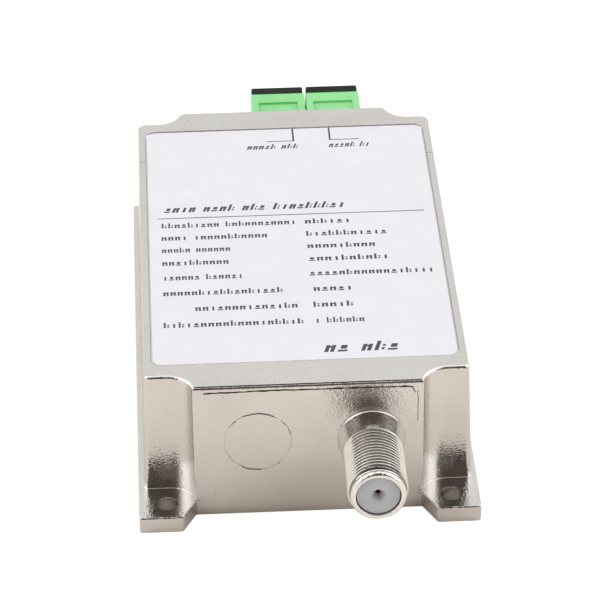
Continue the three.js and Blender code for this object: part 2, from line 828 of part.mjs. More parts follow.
const DIODE_REAR_Y = -24;
const CAN_RADIUS = 2.3;
const CAN_LENGTH = 3.8;
const HEADER_RADIUS = 2.7;
const COUPLER_RADIUS = 1.9;
const COUPLER_NECK = 1.4;
const COUPLER_LENGTH = 8;
const DIODE_BOOT_LENGTH = 4.5;

// Can, header and three leads bent down to the board.
function photodiodeCan() {
  const can = turned(
    [
      [0, DIODE_REAR_Y],
      [HEADER_RADIUS, DIODE_REAR_Y],
      [HEADER_RADIUS, DIODE_REAR_Y + 0.7],
      [CAN_RADIUS, DIODE_REAR_Y + 0.8],
      [CAN_RADIUS, DIODE_REAR_Y + CAN_LENGTH],
      [0, DIODE_REAR_Y + CAN_LENGTH],
    ],
    16,
  ).translate(DIODE_X, 0, DIODE_Z);
  const lead = 0.22;
  const leads = [-1.2, 0, 1.2].flatMap((offset) => {
    const x = DIODE_X + offset;
    const end = DIODE_REAR_Y - 2;
    return [
      block([x - lead, end, DIODE_Z - lead], [x + lead, DIODE_REAR_Y + 0.2, DIODE_Z + lead]),
      block([x - lead, end, BOARD_TOP + SEAT], [x + lead, end + 2 * lead, DIODE_Z]),
    ];
  });
  return join(can, ...leads);
}

function photodiodeCoupler() {
  const start = DIODE_REAR_Y + CAN_LENGTH + GAP;
  return turned(
    [
      [PIGTAIL_BORE, start],
      [COUPLER_RADIUS, start],
      [COUPLER_RADIUS, start + 3],
      [COUPLER_NECK, start + 3.2],
      [COUPLER_NECK, start + COUPLER_LENGTH],
      [PIGTAIL_BORE, start + COUPLER_LENGTH],
      [PIGTAIL_BORE, start],
    ],
    16,
  );
}

function photodiodeBoot() {
  const start = DIODE_REAR_Y + CAN_LENGTH + COUPLER_LENGTH + 2 * GAP;
  const tip = start + DIODE_BOOT_LENGTH;
  return turned(
    [
      [PIGTAIL_BORE, start],
      [COUPLER_NECK, start],
      [0.9, tip],
      [PIGTAIL_BORE, tip],
      [PIGTAIL_BORE, start],
    ],
    16,
  );
}

add(part, "photodiode_can", photodiodeCan(), GOLD);
add(part, "photodiode_coupler", photodiodeCoupler(), STEEL, DIODE_X, 0, DIODE_Z);
add(part, "photodiode_boot", photodiodeBoot(), BLACK, DIODE_X, 0, DIODE_Z);

// ---------------------------------------------------------------- wavelength filter and fibres

function filterTube() {
  return turned(
    [
      [0, FILTER_FRONT],
      [FILTER_RADIUS - 0.3, FILTER_FRONT],
      [FILTER_RADIUS, FILTER_FRONT + 0.3],
      [FILTER_RADIUS, FILTER_BACK - 0.3],
      [FILTER_RADIUS - 0.3, FILTER_BACK],
      [0, FILTER_BACK],
    ],
    16,
  );
}

// A boot with a bore for its fibres; it tapers from y to tip.
function filterBoot(y, tip) {
  const bore = 1.2;
  const profile = [
    [bore, tip],
    [1.6, tip],
    [2.2, y],
    [bore, y],
    [bore, tip],
  ];
  return turned(tip < y ? profile : profile.reverse(), 16);
}

// A fibre in its 0.9 mm buffer, swept along a route.
function fibre(route) {
  const curve = new THREE.CatmullRomCurve3(route.map((point) => new THREE.Vector3(...point)));
  const section = new THREE.Shape();
  for (let k = 0; k < FIBRE_SIDES; k++) {
    const angle = (2 * Math.PI * k) / FIBRE_SIDES;
    const x = FIBRE_RADIUS * Math.cos(angle);
    const y = FIBRE_RADIUS * Math.sin(angle);
    if (k === 0) section.moveTo(x, y);
    else section.lineTo(x, y);
  }
  const steps = Math.round(curve.getLength() / FIBRE_STEP);
  return new THREE.ExtrudeGeometry(section, { steps, extrudePath: curve, bevelEnabled: false });
}

// From a plug's boot the fibre dips under the board, turns round and enters the filter's front boot.
function portFibre(portX, filterX) {
  const bendY = FILTER_FRONT - FILTER_BOOT;
  const centreX = (portX + filterX) / 2;
  const radius = (portX - filterX) / 2;
  const route = [
    [portX, BOOT_END_Y + 4, PORT_Z],
    [portX, BOOT_END_Y, PORT_Z],
    [portX, 2, 13],
    [portX, -3, 10.3],
    [portX, -8, 7.9],
    [portX, bendY, FILTER_Z],
  ];
  const steps = 6;
  for (let k = 1; k < steps; k++) {
    const angle = (Math.PI * k) / steps;
    route.push([centreX + radius * Math.cos(angle), bendY - radius * Math.sin(angle), FILTER_Z]);
  }
  route.push([filterX, bendY, FILTER_Z]);
  route.push([filterX, bendY + FILTER_BOOT - 1, FILTER_Z]);
  return fibre(route);
}

// From the filter's back boot the fibre passes under the fibre ports and climbs to the photodiode.
function diodeFibre() {
  const bendY = FILTER_BACK + FILTER_BOOT + 1;
  const route = [
    [FILTER_X, FILTER_BACK + 1, FILTER_Z],
    [FILTER_X, FILTER_BACK + FILTER_BOOT, FILTER_Z],
  ];
  const low = 5.6;
  const steps = 6;
  for (let k = 1; k < steps; k++) {
    const angle = Math.PI * (1 - k / steps);
    route.push([-FILTER_X * Math.cos(angle), bendY - FILTER_X * Math.sin(angle), low]);
  }
  route.push([19.2, 16, 6.8]);
  route.push([18, 8, 9.8]);
  route.push([15.8, 1, 13.3]);
  route.push([DIODE_X + 0.6, -4, 15.5]);
  route.push([DIODE_X, -8, DIODE_Z]);
  route.push([DIODE_X, -11, DIODE_Z]);
  return fibre(route);
}

add(part, "wdm_filter_tube", filterTube(), STEEL, FILTER_X, 0, FILTER_Z);
const frontBoot = filterBoot(FILTER_FRONT - GAP, FILTER_FRONT - FILTER_BOOT);
const backBoot = filterBoot(FILTER_BACK + GAP, FILTER_BACK + FILTER_BOOT);
add(part, "wdm_filter_boot_front", frontBoot, BLACK, FILTER_X, 0, FILTER_Z);
add(part, "wdm_filter_boot_back", backBoot, BLACK, FILTER_X, 0, FILTER_Z);
const padTop = FILTER_Z - FILTER_RADIUS - GAP;
const pad = block([-22.8, -6, COVER_THICKNESS + GAP], [-16.2, 10, padTop]);
add(part, "filter_foam_pad", pad, FOAM);

const inX = ADAPTER_PAIR_X + ADAPTER_PITCH / 2;
const outX = ADAPTER_PAIR_X - ADAPTER_PITCH / 2;
add(part, "fibre_input", portFibre(inX, FILTER_X - FIBRE_OFFSET), FIBRE_WHITE);
add(part, "fibre_output", portFibre(outX, FILTER_X + FIBRE_OFFSET), FIBRE_WHITE);
add(part, "fibre_photodiode", diodeFibre(), FIBRE_WHITE);

export default part;
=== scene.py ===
"""Looks of a passive optical-to-RF converter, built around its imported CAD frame.

Shapes are worked out in millimetres, in the CAD model's frame, and turned into metres where a mesh is made.
"""
import json
import math
import random

import bmesh
import bpy
import numpy as np
from mathutils import Matrix, Vector, noise


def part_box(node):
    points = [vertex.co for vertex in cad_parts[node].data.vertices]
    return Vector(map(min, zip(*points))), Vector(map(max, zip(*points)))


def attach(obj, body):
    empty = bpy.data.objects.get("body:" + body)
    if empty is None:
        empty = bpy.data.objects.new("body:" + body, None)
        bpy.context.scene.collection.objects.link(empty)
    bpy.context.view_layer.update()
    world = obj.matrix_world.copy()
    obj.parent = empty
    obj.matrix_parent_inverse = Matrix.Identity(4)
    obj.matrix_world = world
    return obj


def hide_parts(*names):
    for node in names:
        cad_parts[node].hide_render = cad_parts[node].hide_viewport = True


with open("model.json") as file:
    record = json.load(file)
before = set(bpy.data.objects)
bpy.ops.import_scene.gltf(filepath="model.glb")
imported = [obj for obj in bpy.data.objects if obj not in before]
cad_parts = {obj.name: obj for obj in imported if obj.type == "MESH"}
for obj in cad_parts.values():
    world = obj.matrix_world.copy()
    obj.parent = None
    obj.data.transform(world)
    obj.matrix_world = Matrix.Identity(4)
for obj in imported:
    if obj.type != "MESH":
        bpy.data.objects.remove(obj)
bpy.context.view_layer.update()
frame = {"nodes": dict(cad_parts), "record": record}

MM = 0.001
RANDOM = random.Random(7)


def box_mm(node):
    """A CAD node's lowest and highest corner, in millimetres."""
    low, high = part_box(node)
    return np.array(low) / MM, np.array(high) / MM


# -------------------- sizes, from the frame

_, CASE_HIGH = box_mm("case_body")
CASE_HEIGHT = CASE_HIGH[2]
FLANGE_HALF_WIDTH = CASE_HIGH[0]
EAR_REACH = CASE_HIGH[1]
LABEL_LOW, LABEL_HIGH = box_mm("top_label")
SHELL_LOW, SHELL_HIGH = box_mm("f_port_shell")
INSULATOR_LOW, INSULATOR_HIGH = box_mm("f_port_insulator")

# The case's own proportions, as in its drawing
TOP_HALF_WIDTH = 25.6
SIDE_DRAFT = 0.67
FACE_Y = 44.1
WALL = 2.0
CHANNEL_RADIUS = 4.1
EAR_X = 22.2
EAR_Y = 44.6
EAR_THICKNESS = 2.9
EAR_INNER_X = 20.15
EAR_ROOT_X = 17.9
EAR_HOLE_X = 22.65
EAR_HOLE_Y = 44.85
EAR_HOLE_RADIUS = 1.7
EAR_CORNER = 0.6
EDGE = 0.18             # rounding of cast edges
FRONT_EDGE = 0.5        # and of the top edge above the front face, which is worn
ROOT = 0.12             # hollow where the walls meet the ears and flange
FRONT_CORNER, FRONT_CREST = 0.8, 0.16    # upright edges at the front: outer, and beside the channel
BACK_CORNER, BACK_CREST = 1.4, 1.2       # and the same at the back
COVER_POST_RADIUS, BOARD_POST_RADIUS = 2.7, 2.2
SCREW_HOLE_RADIUS = 0.85
PORT_HOLE_RADIUS = 4.7
PORT_WINDOW_GAP = 0.2
TOUCHING_GAP = 0.02     # left between pieces that touch
CUT_PAST = 1.0          # how far a cutter reaches past the surface that it opens
PORT_Z = (SHELL_LOW[2] + SHELL_HIGH[2]) / 2
PORT_X = (SHELL_LOW[0] + SHELL_HIGH[0]) / 2
BLANK_X = -8.0
BLANK_RADIUS = 5.3
LABEL_RECESS = 0.35
LABEL_MARGIN = 0.25
LABEL_CORNER = 1.45
RECESS_CORNER = 1.7
NICK_Y = {-1: 27.3, 1: 27.4}             # where a parting line crosses each margin of the label

# The coaxial port
THREAD_PITCH = 25.4 / 32
THREAD_TURNS = 13
THREAD_RUNOUT = 0.35
CREST_RADIUS, ROOT_RADIUS = 4.75, 4.28
SHANK_RADIUS = 4.6
BORE_RADIUS = 3.5
COLLAR_LENGTH = 4.2
NOSE_RADIUS = 4.35
NOSE_LENGTH = 1.25
NOSE_CHAMFER = 0.32
INSULATOR_RADIUS = 3.4
CONTACT_BORE = 0.95
CONTACT_HOLE = 0.34


# -------------------- outlines and lofts

def smooth_step(x):
    x = min(1, max(0, x))
    return x * x * (3 - 2 * x)


def arc(cx, cy, radius, start, end, steps):
    """Points on an arc; angles in radians."""
    angles = np.linspace(start, end, steps + 1)
    return [(cx + radius * math.cos(a), cy + radius * math.sin(a)) for a in angles]


def round_corners(corners, steps=5):
    """A closed outline through corners (x, y, radius)."""
    points = []
    count = len(corners)
    for i, (x, y, radius) in enumerate(corners):
        here = Vector((x, y))
        if radius <= 0:
            points.append((x, y))
            continue
        before = (Vector(corners[i - 1][:2]) - here).normalized()
        after = (Vector(corners[(i + 1) % count][:2]) - here).normalized()
        half = math.acos(max(-1, min(1, before.dot(after)))) / 2
        reach = radius / math.tan(half)
        centre = here + (before + after).normalized() * (radius / math.sin(half))
        first = here + before * reach - centre
        last = here + after * reach - centre
        start = math.atan2(first.y, first.x)
        sweep = math.atan2(last.y, last.x) - start
        sweep = math.atan2(math.sin(sweep), math.cos(sweep))
        points += arc(centre.x, centre.y, radius, start, start + sweep, steps)
    return points


def rounded_rectangle(x0, y0, x1, y1, radius, steps=5):
    return round_corners([(x0, y0, radius), (x1, y0, radius), (x1, y1, radius), (x0, y1, radius)], steps)


def centred_rectangle(half_width, half_height, radius):
    return rounded_rectangle(-half_width, -half_height, half_width, half_height, radius)


def inset(outline, distance):
    """The outline moved inwards by a distance, for outlines that run anticlockwise."""
    points = np.array(outline, float)
    back = points - np.roll(points, 1, axis=0)
    ahead = np.roll(points, -1, axis=0) - points
    back /= np.linalg.norm(back, axis=1)[:, None]
    ahead /= np.linalg.norm(ahead, axis=1)[:, None]
    n0 = np.stack([-back[:, 1], back[:, 0]], 1)
    n1 = np.stack([-ahead[:, 1], ahead[:, 0]], 1)
    middle = n0 + n1
    middle /= np.linalg.norm(middle, axis=1)[:, None]
    share = np.maximum(0.35, (middle * n1).sum(1))
    return points + middle * (distance / share)[:, None]


def edge_rounding(low, high, round_low, round_high, steps=4):
    """(height, inset) pairs that round both ends of an upright loft."""
    turns = [math.pi / 2 * k / steps for k in range(steps + 1)]

    def end_rows(end, radius, out):
        """Rows from the straight side to an end; out is 1 at the high end and -1 at the low one."""
        if radius <= 0:
            return [(end, 0.0)]
        return [(end - out * radius * (1 - math.sin(a)), radius * (1 - math.cos(a))) for a in turns]

    return end_rows(low, round_low, -1)[::-1] + end_rows(high, round_high, 1)


def plan_rings(outline, rows):
    """Rings of an outline in plan, one for each (z, inset) row."""
    return [np.column_stack([inset(outline, d), np.full(len(outline), z)]) for z, d in rows]


def end_rings(outline, rows, x=0.0, z=0.0):
    """Rings of an outline in the X-Z plane, about (x, z), one for each (y, inset) row."""
    rings = []
    for y, d in rows:
        flat = inset(outline, d)
        rings.append(np.column_stack([flat[:, 0] + x, np.full(len(flat), y), flat[:, 1] + z]))
    return rings


def new_object(name, vertices, faces):
    """A mesh object from points in millimetres, with its faces turned outwards."""
    mesh = bpy.data.meshes.new(name)
    mesh.from_pydata([tuple(Vector(v) * MM) for v in vertices], [], faces)
    work = bmesh.new()
    work.from_mesh(mesh)
    bmesh.ops.recalc_face_normals(work, faces=work.faces)
    work.to_mesh(mesh)
    work.free()
    made = bpy.data.objects.new(name, mesh)
    bpy.context.scene.collection.objects.link(made)
    return made


def loft(name, rings):
    """A closed solid through rings of equal length, capped at both ends."""
    count = len(rings[0])
    vertices = np.concatenate(rings)
    faces = []
    for r in range(len(rings) - 1):
        for i in range(count):
            j = (i + 1) % count
            a = r * count
            b = a + count
            faces.append((a + i, a + j, b + j, b + i))
    faces.append(tuple(range(count)))
    last = (len(rings) - 1) * count
    faces.append(tuple(range(last, last + count)))
    return new_object(name, vertices, faces)


def lathe(name, profile, centre, segments=64, ripple=None):
    """A piece turned about Y, from a closed list of (radius, place along Y).

    A radius of 0 closes the profile on the axis. ripple(radius, place, angle) gives the radius to use
    instead, for a thread.
    """
    rows = []
    vertices = []
    for radius, place in profile:
        if radius <= 1e-9:
            rows.append([len(vertices)])
            vertices.append((0.0, 0.0, place))
            continue
        row = []
        for k in range(segments):
            angle = 2 * math.pi * k / segments
            r = ripple(radius, place, angle) if ripple else radius
            row.append(len(vertices))
            vertices.append((r * math.cos(angle), r * math.sin(angle), place))
        rows.append(row)
    pairs = list(zip(rows, rows[1:]))
    if len(rows[0]) > 1 and len(rows[-1]) > 1:
        pairs.append((rows[-1], rows[0]))
    faces = []
    for low, high in pairs:
        for k in range(segments):
            n = (k + 1) % segments
            if len(low) == 1 and len(high) == 1:
                continue
            if len(low) == 1:
                faces.append((low[0], high[k], high[n]))
            elif len(high) == 1:
                faces.append((low[k], low[n], high[0]))
            else:
                faces.append((low[k], low[n], high[n], high[k]))
    points = np.array(vertices)[:, [0, 2, 1]]
    return new_object(name, points + np.array(centre), faces)


def boolean(target, operation, *tools):
    """Joins tools to target, or cuts them out of it, and removes them."""
    for tool in tools:
        modifier = target.modifiers.new("boolean", "BOOLEAN")
        modifier.operation = operation
        modifier.solver = "MANIFOLD"
        modifier.object = tool
        graph = bpy.context.evaluated_depsgraph_get()
        mesh = bpy.data.meshes.new_from_object(target.evaluated_get(graph))
        target.modifiers.clear()
        target.data = mesh
        bpy.data.objects.remove(tool)
    return target


def cut(target, *tools):
    return boolean(target, "DIFFERENCE", *tools)


def join(target, *tools):
    return boolean(target, "UNION", *tools)


def tidy_shading(piece, angle=32):
    """Smooth faces with crisp edges, and flat faces that stay flat beside a rounding."""
    work = bmesh.new()
    work.from_mesh(piece.data)
    bmesh.ops.remove_doubles(work, verts=work.verts, dist=1e-7)
    bmesh.ops.dissolve_degenerate(work, edges=work.edges, dist=1e-8)
    work.to_mesh(piece.data)
    work.free()
    piece.data.shade_smooth()
    piece.data.set_sharp_from_angle(angle=math.radians(angle))
    weighted = piece.modifiers.new("weighted", "WEIGHTED_NORMAL")
    weighted.keep_sharp = True
    weighted.weight = 100


def finish_piece(piece, body, slot, *nodes, material=None, angle=32):
    """Shades a piece, gives it its material (its slot's own, if none is given) and ties it to the frame."""
    tidy_shading(piece, angle)
    piece.data.materials.clear()
    piece.data.materials.append(material or SLOT_MATERIALS[slot])
    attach(piece, body)
    if nodes:
        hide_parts(*nodes)


# -------------------- materials

class Tree:
    """A short way to write a node tree."""

    def __init__(self, tree):
        self.tree = tree

    def node(self, kind, inputs=None, **settings):
        """A new node, its settings and what its inputs are fed."""
        made = self.tree.nodes.new(kind)
        for key, value in settings.items():
            setattr(made, key, value)
        for name, value in (inputs or {}).items():
            self.feed(made.inputs[name], value)
        return made

    def link(self, source, target):
        self.tree.links.new(source, target)

    def feed(self, socket, value):
        """Gives a socket a number, a colour or vector, or another node's output."""
        if isinstance(value, (int, float)):
            socket.default_value = value
        elif isinstance(value, tuple):
            socket.default_value = (*value, 1) if socket.type == "RGBA" else value
        else:
            self.link(value, socket)

    def range(self, source, low, high, out_low, out_high, **settings):
        inputs = {"Value": source, "From Min": low, "From Max": high, "To Min": out_low, "To Max": out_high}
        return self.node("ShaderNodeMapRange", inputs, **settings).outputs["Result"]

    def math(self, operation, a, b=0):
        made = self.node("ShaderNodeMath", operation=operation)
        self.feed(made.inputs[0], a)
        self.feed(made.inputs[1], b)
        return made.outputs["Value"]

    def mix(self, share, a, b):
        made = self.node("ShaderNodeMix", data_type="RGBA")
        for key, value in (("Factor", share), ("A", a), ("B", b)):
            self.feed(next(s for s in made.inputs if s.name == key and s.enabled), value)
        return next(s for s in made.outputs if s.enabled)


class Nodes(Tree):
    """The node tree of a new material."""

    def __init__(self, name):
        self.material = bpy.data.materials.new(name)
        self.material.use_nodes = True
        super().__init__(self.material.node_tree)
        self.shader = self.tree.nodes["Principled BSDF"]
        self.place = self.node("ShaderNodeTexCoord").outputs["Object"]

    def scaled(self, x, y, z):
        inputs = {"Scale": (x, y, z), "Vector": self.place}
        return self.node("ShaderNodeMapping", inputs).outputs["Vector"]

    def noise(self, size_mm, detail=2.0, roughness=0.5, vector=None, distortion=0.0):
        """Noise whose features are about size_mm across."""
        inputs = {"Scale": 1 / (size_mm * MM), "Detail": detail, "Roughness": roughness,
                  "Distortion": distortion, "Vector": vector or self.place}
        return self.node("ShaderNodeTexNoise", inputs).outputs["Fac"]

    def spots(self, size_mm):
        """The distance to the nearest of scattered points about size_mm apart."""
        inputs = {"Scale": 1 / (size_mm * MM), "Vector": self.place}
        return self.node("ShaderNodeTexVoronoi", inputs, feature="F1").outputs["Distance"]

    def axes(self):
        """The place's X, Y and Z, in metres."""
        split = self.node("ShaderNodeSeparateXYZ", {"Vector": self.place})
        return [split.outputs[axis] for axis in "XYZ"]

    def ramp(self, source, *stops):
        """A colour ramp; stops are (place, colour)."""
        made = self.node("ShaderNodeValToRGB", {"Fac": source})
        elements = made.color_ramp.elements
        while len(elements) < len(stops):
            elements.new(0.5)
        for element, (place, colour) in zip(elements, stops):
            element.position = place
            element.color = (*colour, 1)
        return made.outputs["Color"]

    def bump(self, height, distance_mm, under=None):
        inputs = {"Distance": distance_mm * MM, "Strength": 1.0, "Height": height}
        if under is not None:
            inputs["Normal"] = under
        return self.node("ShaderNodeBump", inputs).outputs["Normal"]

    def set(self, **values):
        """Sets the shader's sockets, an underscore standing for a space in their names."""
        for key, value in values.items():
            self.feed(self.shader.inputs[key.replace("_", " ")], value)
        return self.material


NICKEL = (0.67, 0.652, 0.63)
NICKEL_STAINED = (0.60, 0.575, 0.545)
# the colour of the dark pits, and of the painted shade in the casting's groove lines and ear edges
DARK_PITS_AND_SHADE = (0.07, 0.058, 0.05)
TURNED = (0.80, 0.78, 0.75)
TURNED_STAINED = (0.58, 0.54, 0.50)
# the colour of the painted shade in the thread's roots
THREAD_ROOT_SHADE = (0.1, 0.085, 0.072)
MILKY = (0.56, 0.59, 0.63)
MILKY_SHADE = (0.52, 0.55, 0.59)
# the painted shade in the insulator's funnel, browned by the contact's tint
FUNNEL_SHADE_BROWN = (0.42, 0.38, 0.345)


def cast_nickel():
    """Bright nickel over a die casting: a fine pebble, slow waves, pits, stains, and painted shade in the
    groove lines and along the ears' top edges.
    """
    n = Nodes("cast_nickel")
    across, length, z = n.axes()
    x, y = n.math("ABSOLUTE", across), n.math("ABSOLUTE", length)

    def band(value, low, high, soft=0.04):
        """1 where the value lies between low and high, in millimetres."""
        above = n.range(value, (low - soft) * MM, low * MM, 0, 1)
        return n.math("MULTIPLY", above, n.range(value, high * MM, (high + soft) * MM, 1, 0))

    # Painted shade lies in the groove lines of the end faces, thinner low down, and along the ears' top edges
    groove_shade = n.math("MULTIPLY", band(y, FACE_Y - 0.22, FACE_Y - 0.05), band(x, 0, EAR_ROOT_X - 0.6))
    groove_shade = n.math("MULTIPLY", groove_shade, band(z, EAR_THICKNESS + 1, CASE_HEIGHT - 0.65))
    groove_shade = n.math("MULTIPLY", groove_shade, n.range(n.noise(1.5, detail=3), 0.4, 0.6, 0.05, 1))
    high_up = n.range(z, (CASE_HEIGHT - 2.6) * MM, (CASE_HEIGHT - 1.6) * MM, 0.3, 1)
    groove_shade = n.math("MULTIPLY", groove_shade, high_up)
    rim_height = band(z, EAR_THICKNESS - 0.2, EAR_THICKNESS)
    rim_shade = n.math("MULTIPLY", band(y, EAR_REACH - 0.16, EAR_REACH), rim_height)
    rim_shade = n.math("MULTIPLY", rim_shade, n.range(n.noise(0.9, detail=3), 0.42, 0.56, 0, 1))
    painted_shade = n.math("MULTIPLY", n.math("MAXIMUM", groove_shade, rim_shade), 0.85)

    stain = n.noise(9, detail=4, roughness=0.55)
    flow = n.noise(14, detail=3, vector=n.scaled(1, 0.35, 1))
    colour = n.mix(n.range(stain, 0.42, 0.72, 0, 0.55), NICKEL, NICKEL_STAINED)
    few = n.range(n.noise(5, detail=1), 0.56, 0.6, 0, 1)
    pits = n.math("MULTIPLY", n.range(n.spots(2.6), 0.035, 0.055, 1, 0), few)
    # darkened where the pits are, and where the painted shade lies
    colour = n.mix(n.math("MAXIMUM", pits, painted_shade), colour, DARK_PITS_AND_SHADE)
    rough = n.range(n.noise(3.5, detail=5), 0.35, 0.7, 0.12, 0.19)
    pebble = n.noise(0.34, detail=1.5, roughness=0.4, distortion=0.4)
    grain = n.noise(0.14, detail=1)
    normal = n.bump(flow, 0.09)
    normal = n.bump(pebble, 0.05, under=normal)
    normal = n.bump(grain, 0.005, under=normal)
    normal = n.bump(n.math("SUBTRACT", 1, pits), 0.04, under=normal)
    return n.set(Metallic=1.0, Base_Color=colour, Roughness=rough, Normal=normal)


def port_place(n):
    """The distance from the coaxial port's axis and the place along it, as two sockets."""
    x, y, z = n.axes()
    across = n.math("POWER", n.math("SUBTRACT", x, PORT_X * MM), 2.0)
    up = n.math("POWER", n.math("SUBTRACT", z, PORT_Z * MM), 2.0)
    return n.math("SQRT", n.math("ADD", across, up)), y


def turned_nickel():
    """Bright nickel over turned brass: fine rings, painted shade in the thread's roots and a knocked nose."""
    n = Nodes("turned_nickel")
    radius, along = port_place(n)
    nose = SHELL_LOW[1] * MM
    thread_front, thread_back = nose + 1.2 * MM, nose + 12 * MM
    # Painted shade in the thread's roots: darker close to the root radius, along the threaded length
    root = n.range(radius, 4.38 * MM, 4.62 * MM, 1, 0)
    root = n.math("MULTIPLY", root, n.range(along, thread_front, thread_front + 0.15 * MM, 0, 1))
    root = n.math("MULTIPLY", root, n.range(along, thread_back, thread_back + 0.4 * MM, 1, 0))
    painted_shade = n.math("MULTIPLY", root, n.range(n.noise(2.2, detail=3), 0.3, 0.6, 0.75, 0.96))
    knocked = n.range(along, nose + 0.9 * MM, nose + 1.3 * MM, 1, 0)
    rings = n.noise(0.12, detail=2, vector=n.scaled(0.04, 1, 0.04))
    stain = n.noise(3, detail=4)
    colour = n.mix(n.range(stain, 0.45, 0.75, 0, 0.5), TURNED, TURNED_STAINED)
    rough = n.range(n.noise(1.2, detail=4), 0.3, 0.7, 0.1, 0.2)
    normal = n.bump(rings, 0.004)
    normal = n.bump(n.noise(0.7, detail=2), 0.008, under=normal)
    normal = n.bump(n.math("MULTIPLY", knocked, n.noise(0.5, detail=2)), 0.09, under=normal)
    colour = n.mix(painted_shade, colour, THREAD_ROOT_SHADE)
    return n.set(Metallic=1.0, Base_Color=colour, Roughness=rough, Normal=normal)


def plain_metal(name, colour, stained, rough_low, rough_high, grain=(1, 1, 1)):
    """Rolled, turned or plated metal."""
    n = Nodes(name)
    streaks = n.noise(0.3, detail=3, vector=n.scaled(*grain))
    tint = n.mix(n.range(n.noise(4, detail=4), 0.4, 0.75, 0, 0.7), colour, stained)
    rough = n.range(n.noise(1.5, detail=4), 0.3, 0.7, rough_low, rough_high)
    return n.set(Metallic=1.0, Base_Color=tint, Roughness=rough, Normal=n.bump(streaks, 0.006))


def label_film():
    """Satin printed film: a cool white with a faint mottle and a slight tooth."""
    n = Nodes("label_film")
    mottle = n.noise(6, detail=3)
    colour = n.mix(n.range(mottle, 0.35, 0.7, 0, 1), (0.73, 0.725, 0.765), (0.705, 0.70, 0.74))
    rough = n.range(n.noise(1.4, detail=3), 0.3, 0.7, 0.42, 0.52)
    normal = n.bump(n.noise(9, detail=1), 0.03)
    normal = n.bump(n.noise(0.12, detail=2), 0.0012, under=normal)
    return n.set(Base_Color=colour, Roughness=rough, Normal=normal, Coat_Weight=0.15, Coat_Roughness=0.3)


def ink():
    """Screen-printed ink: dark, slightly uneven."""
    n = Nodes("label_ink")
    colour = n.ramp(n.noise(0.5, detail=4), (0.35, (0.022, 0.022, 0.028)), (0.72, (0.06, 0.06, 0.07)))
    return n.set(Base_Color=colour, Roughness=0.45, Normal=n.bump(n.noise(0.08, detail=2), 0.001))


def moulded(name, colour, shade, rough_low, rough_high, depth=0.004, scatter=0.0, **values):
    """Moulded plastic: faint flow marks, a spark-eroded tooth and a little sheen."""
    n = Nodes(name)
    flow = n.noise(5, detail=3, vector=n.scaled(1, 0.4, 1), distortion=0.6)
    tint = n.mix(n.range(flow, 0.35, 0.7, 0, 1), colour, shade)
    rough = n.range(n.noise(0.8, detail=4), 0.3, 0.7, rough_low, rough_high)
    normal = n.bump(n.noise(0.16, detail=3, roughness=0.6), depth)
    n.set(Base_Color=tint, Roughness=rough, Normal=normal, **values)
    if scatter:
        n.set(Subsurface_Weight=scatter, Subsurface_Scale=0.002)
        n.set(Subsurface_Radius=tuple(c + 0.15 for c in colour))
    return n.material


def insulator_plastic():
    """Milky plastic, darkened and browned toward the funnel's throat: painted shade, with the contact's tint
    showing through.
    """
    n = Nodes("insulator_plastic")
    radius, _ = port_place(n)
    tint = n.mix(n.range(n.noise(3, detail=3), 0.35, 0.7, 0, 1), MILKY, MILKY_SHADE)
    # painted shade in the funnel: browner and darker toward the throat
    tint = n.mix(n.range(radius, 0.5 * MM, 1.2 * MM, 0.9, 0), tint, FUNNEL_SHADE_BROWN)
    rough = n.range(n.noise(0.8, detail=4), 0.3, 0.7, 0.25, 0.38)
    normal = n.bump(n.noise(0.16, detail=3, roughness=0.6), 0.002)
    n.set(Base_Color=tint, Roughness=rough, Normal=normal)
    return n.set(Subsurface_Weight=0.4, Subsurface_Scale=0.0012, Subsurface_Radius=(0.7, 0.75, 0.8))


INK = ink()
SLOT_MATERIALS = {
    "nickel_plate": cast_nickel(),
    "connector_plate": turned_nickel(),
    "steel": plain_metal("rolled_steel", (0.52, 0.52, 0.53), (0.40, 0.40, 0.41), 0.25, 0.4, (0.05, 1, 1)),
    "brass": plain_metal("turned_brass", (0.72, 0.52, 0.22), (0.55, 0.38, 0.16), 0.2, 0.35),
    "gold_plate": plain_metal("gold_plate", (0.86, 0.62, 0.27), (0.75, 0.52, 0.22), 0.12, 0.22),
    "enamelled_copper": plain_metal("enamelled_copper", (0.62, 0.27, 0.11), (0.45, 0.18, 0.08), 0.2, 0.3),
    "label_film": label_film(),
    "green_plastic": moulded("green_plastic", (0.25, 0.68, 0.27), (0.22, 0.63, 0.24), 0.34, 0.48,
                             scatter=0.35),
    # the faint green in this black is painted bounce light from the green housings
    "black_plastic": moulded("black_plastic", (0.010, 0.013, 0.009), (0.016, 0.019, 0.014), 0.5, 0.62,
                             depth=0.006, Specular_IOR_Level=0.1),
    "ivory_plastic": moulded("ivory_plastic", (0.82, 0.77, 0.64), (0.78, 0.73, 0.60), 0.35, 0.5, scatter=0.3),
    "insulator_plastic": insulator_plastic(),
    "zirconia": moulded("zirconia", (0.88, 0.87, 0.84), (0.85, 0.84, 0.81), 0.08, 0.15, depth=0.001),
    "circuit_board": moulded("circuit_board", (0.01, 0.14, 0.05), (0.012, 0.17, 0.06), 0.25, 0.4),
    "ferrite": moulded("ferrite", (0.035, 0.033, 0.03), (0.055, 0.05, 0.045), 0.5, 0.7, depth=0.01),
    "chip_ceramic": moulded("chip_ceramic", (0.40, 0.26, 0.13), (0.36, 0.23, 0.11), 0.4, 0.55),
    "fibre_buffer": moulded("fibre_buffer", (0.85, 0.84, 0.78), (0.8, 0.79, 0.73), 0.35, 0.5),
    "foam": moulded("foam", (0.04, 0.042, 0.045), (0.06, 0.062, 0.066), 0.85, 0.95, depth=0.08),
}


def dress_cad_nodes():
    """Every CAD node gets its slot's material, whether or not a finer piece replaces it."""
    for row in frame["record"]["subparts"]:
        node = frame["nodes"][row["node"]]
        node.data.materials.clear()
        node.data.materials.append(SLOT_MATERIALS[row["material_slot"]])


# -------------------- case

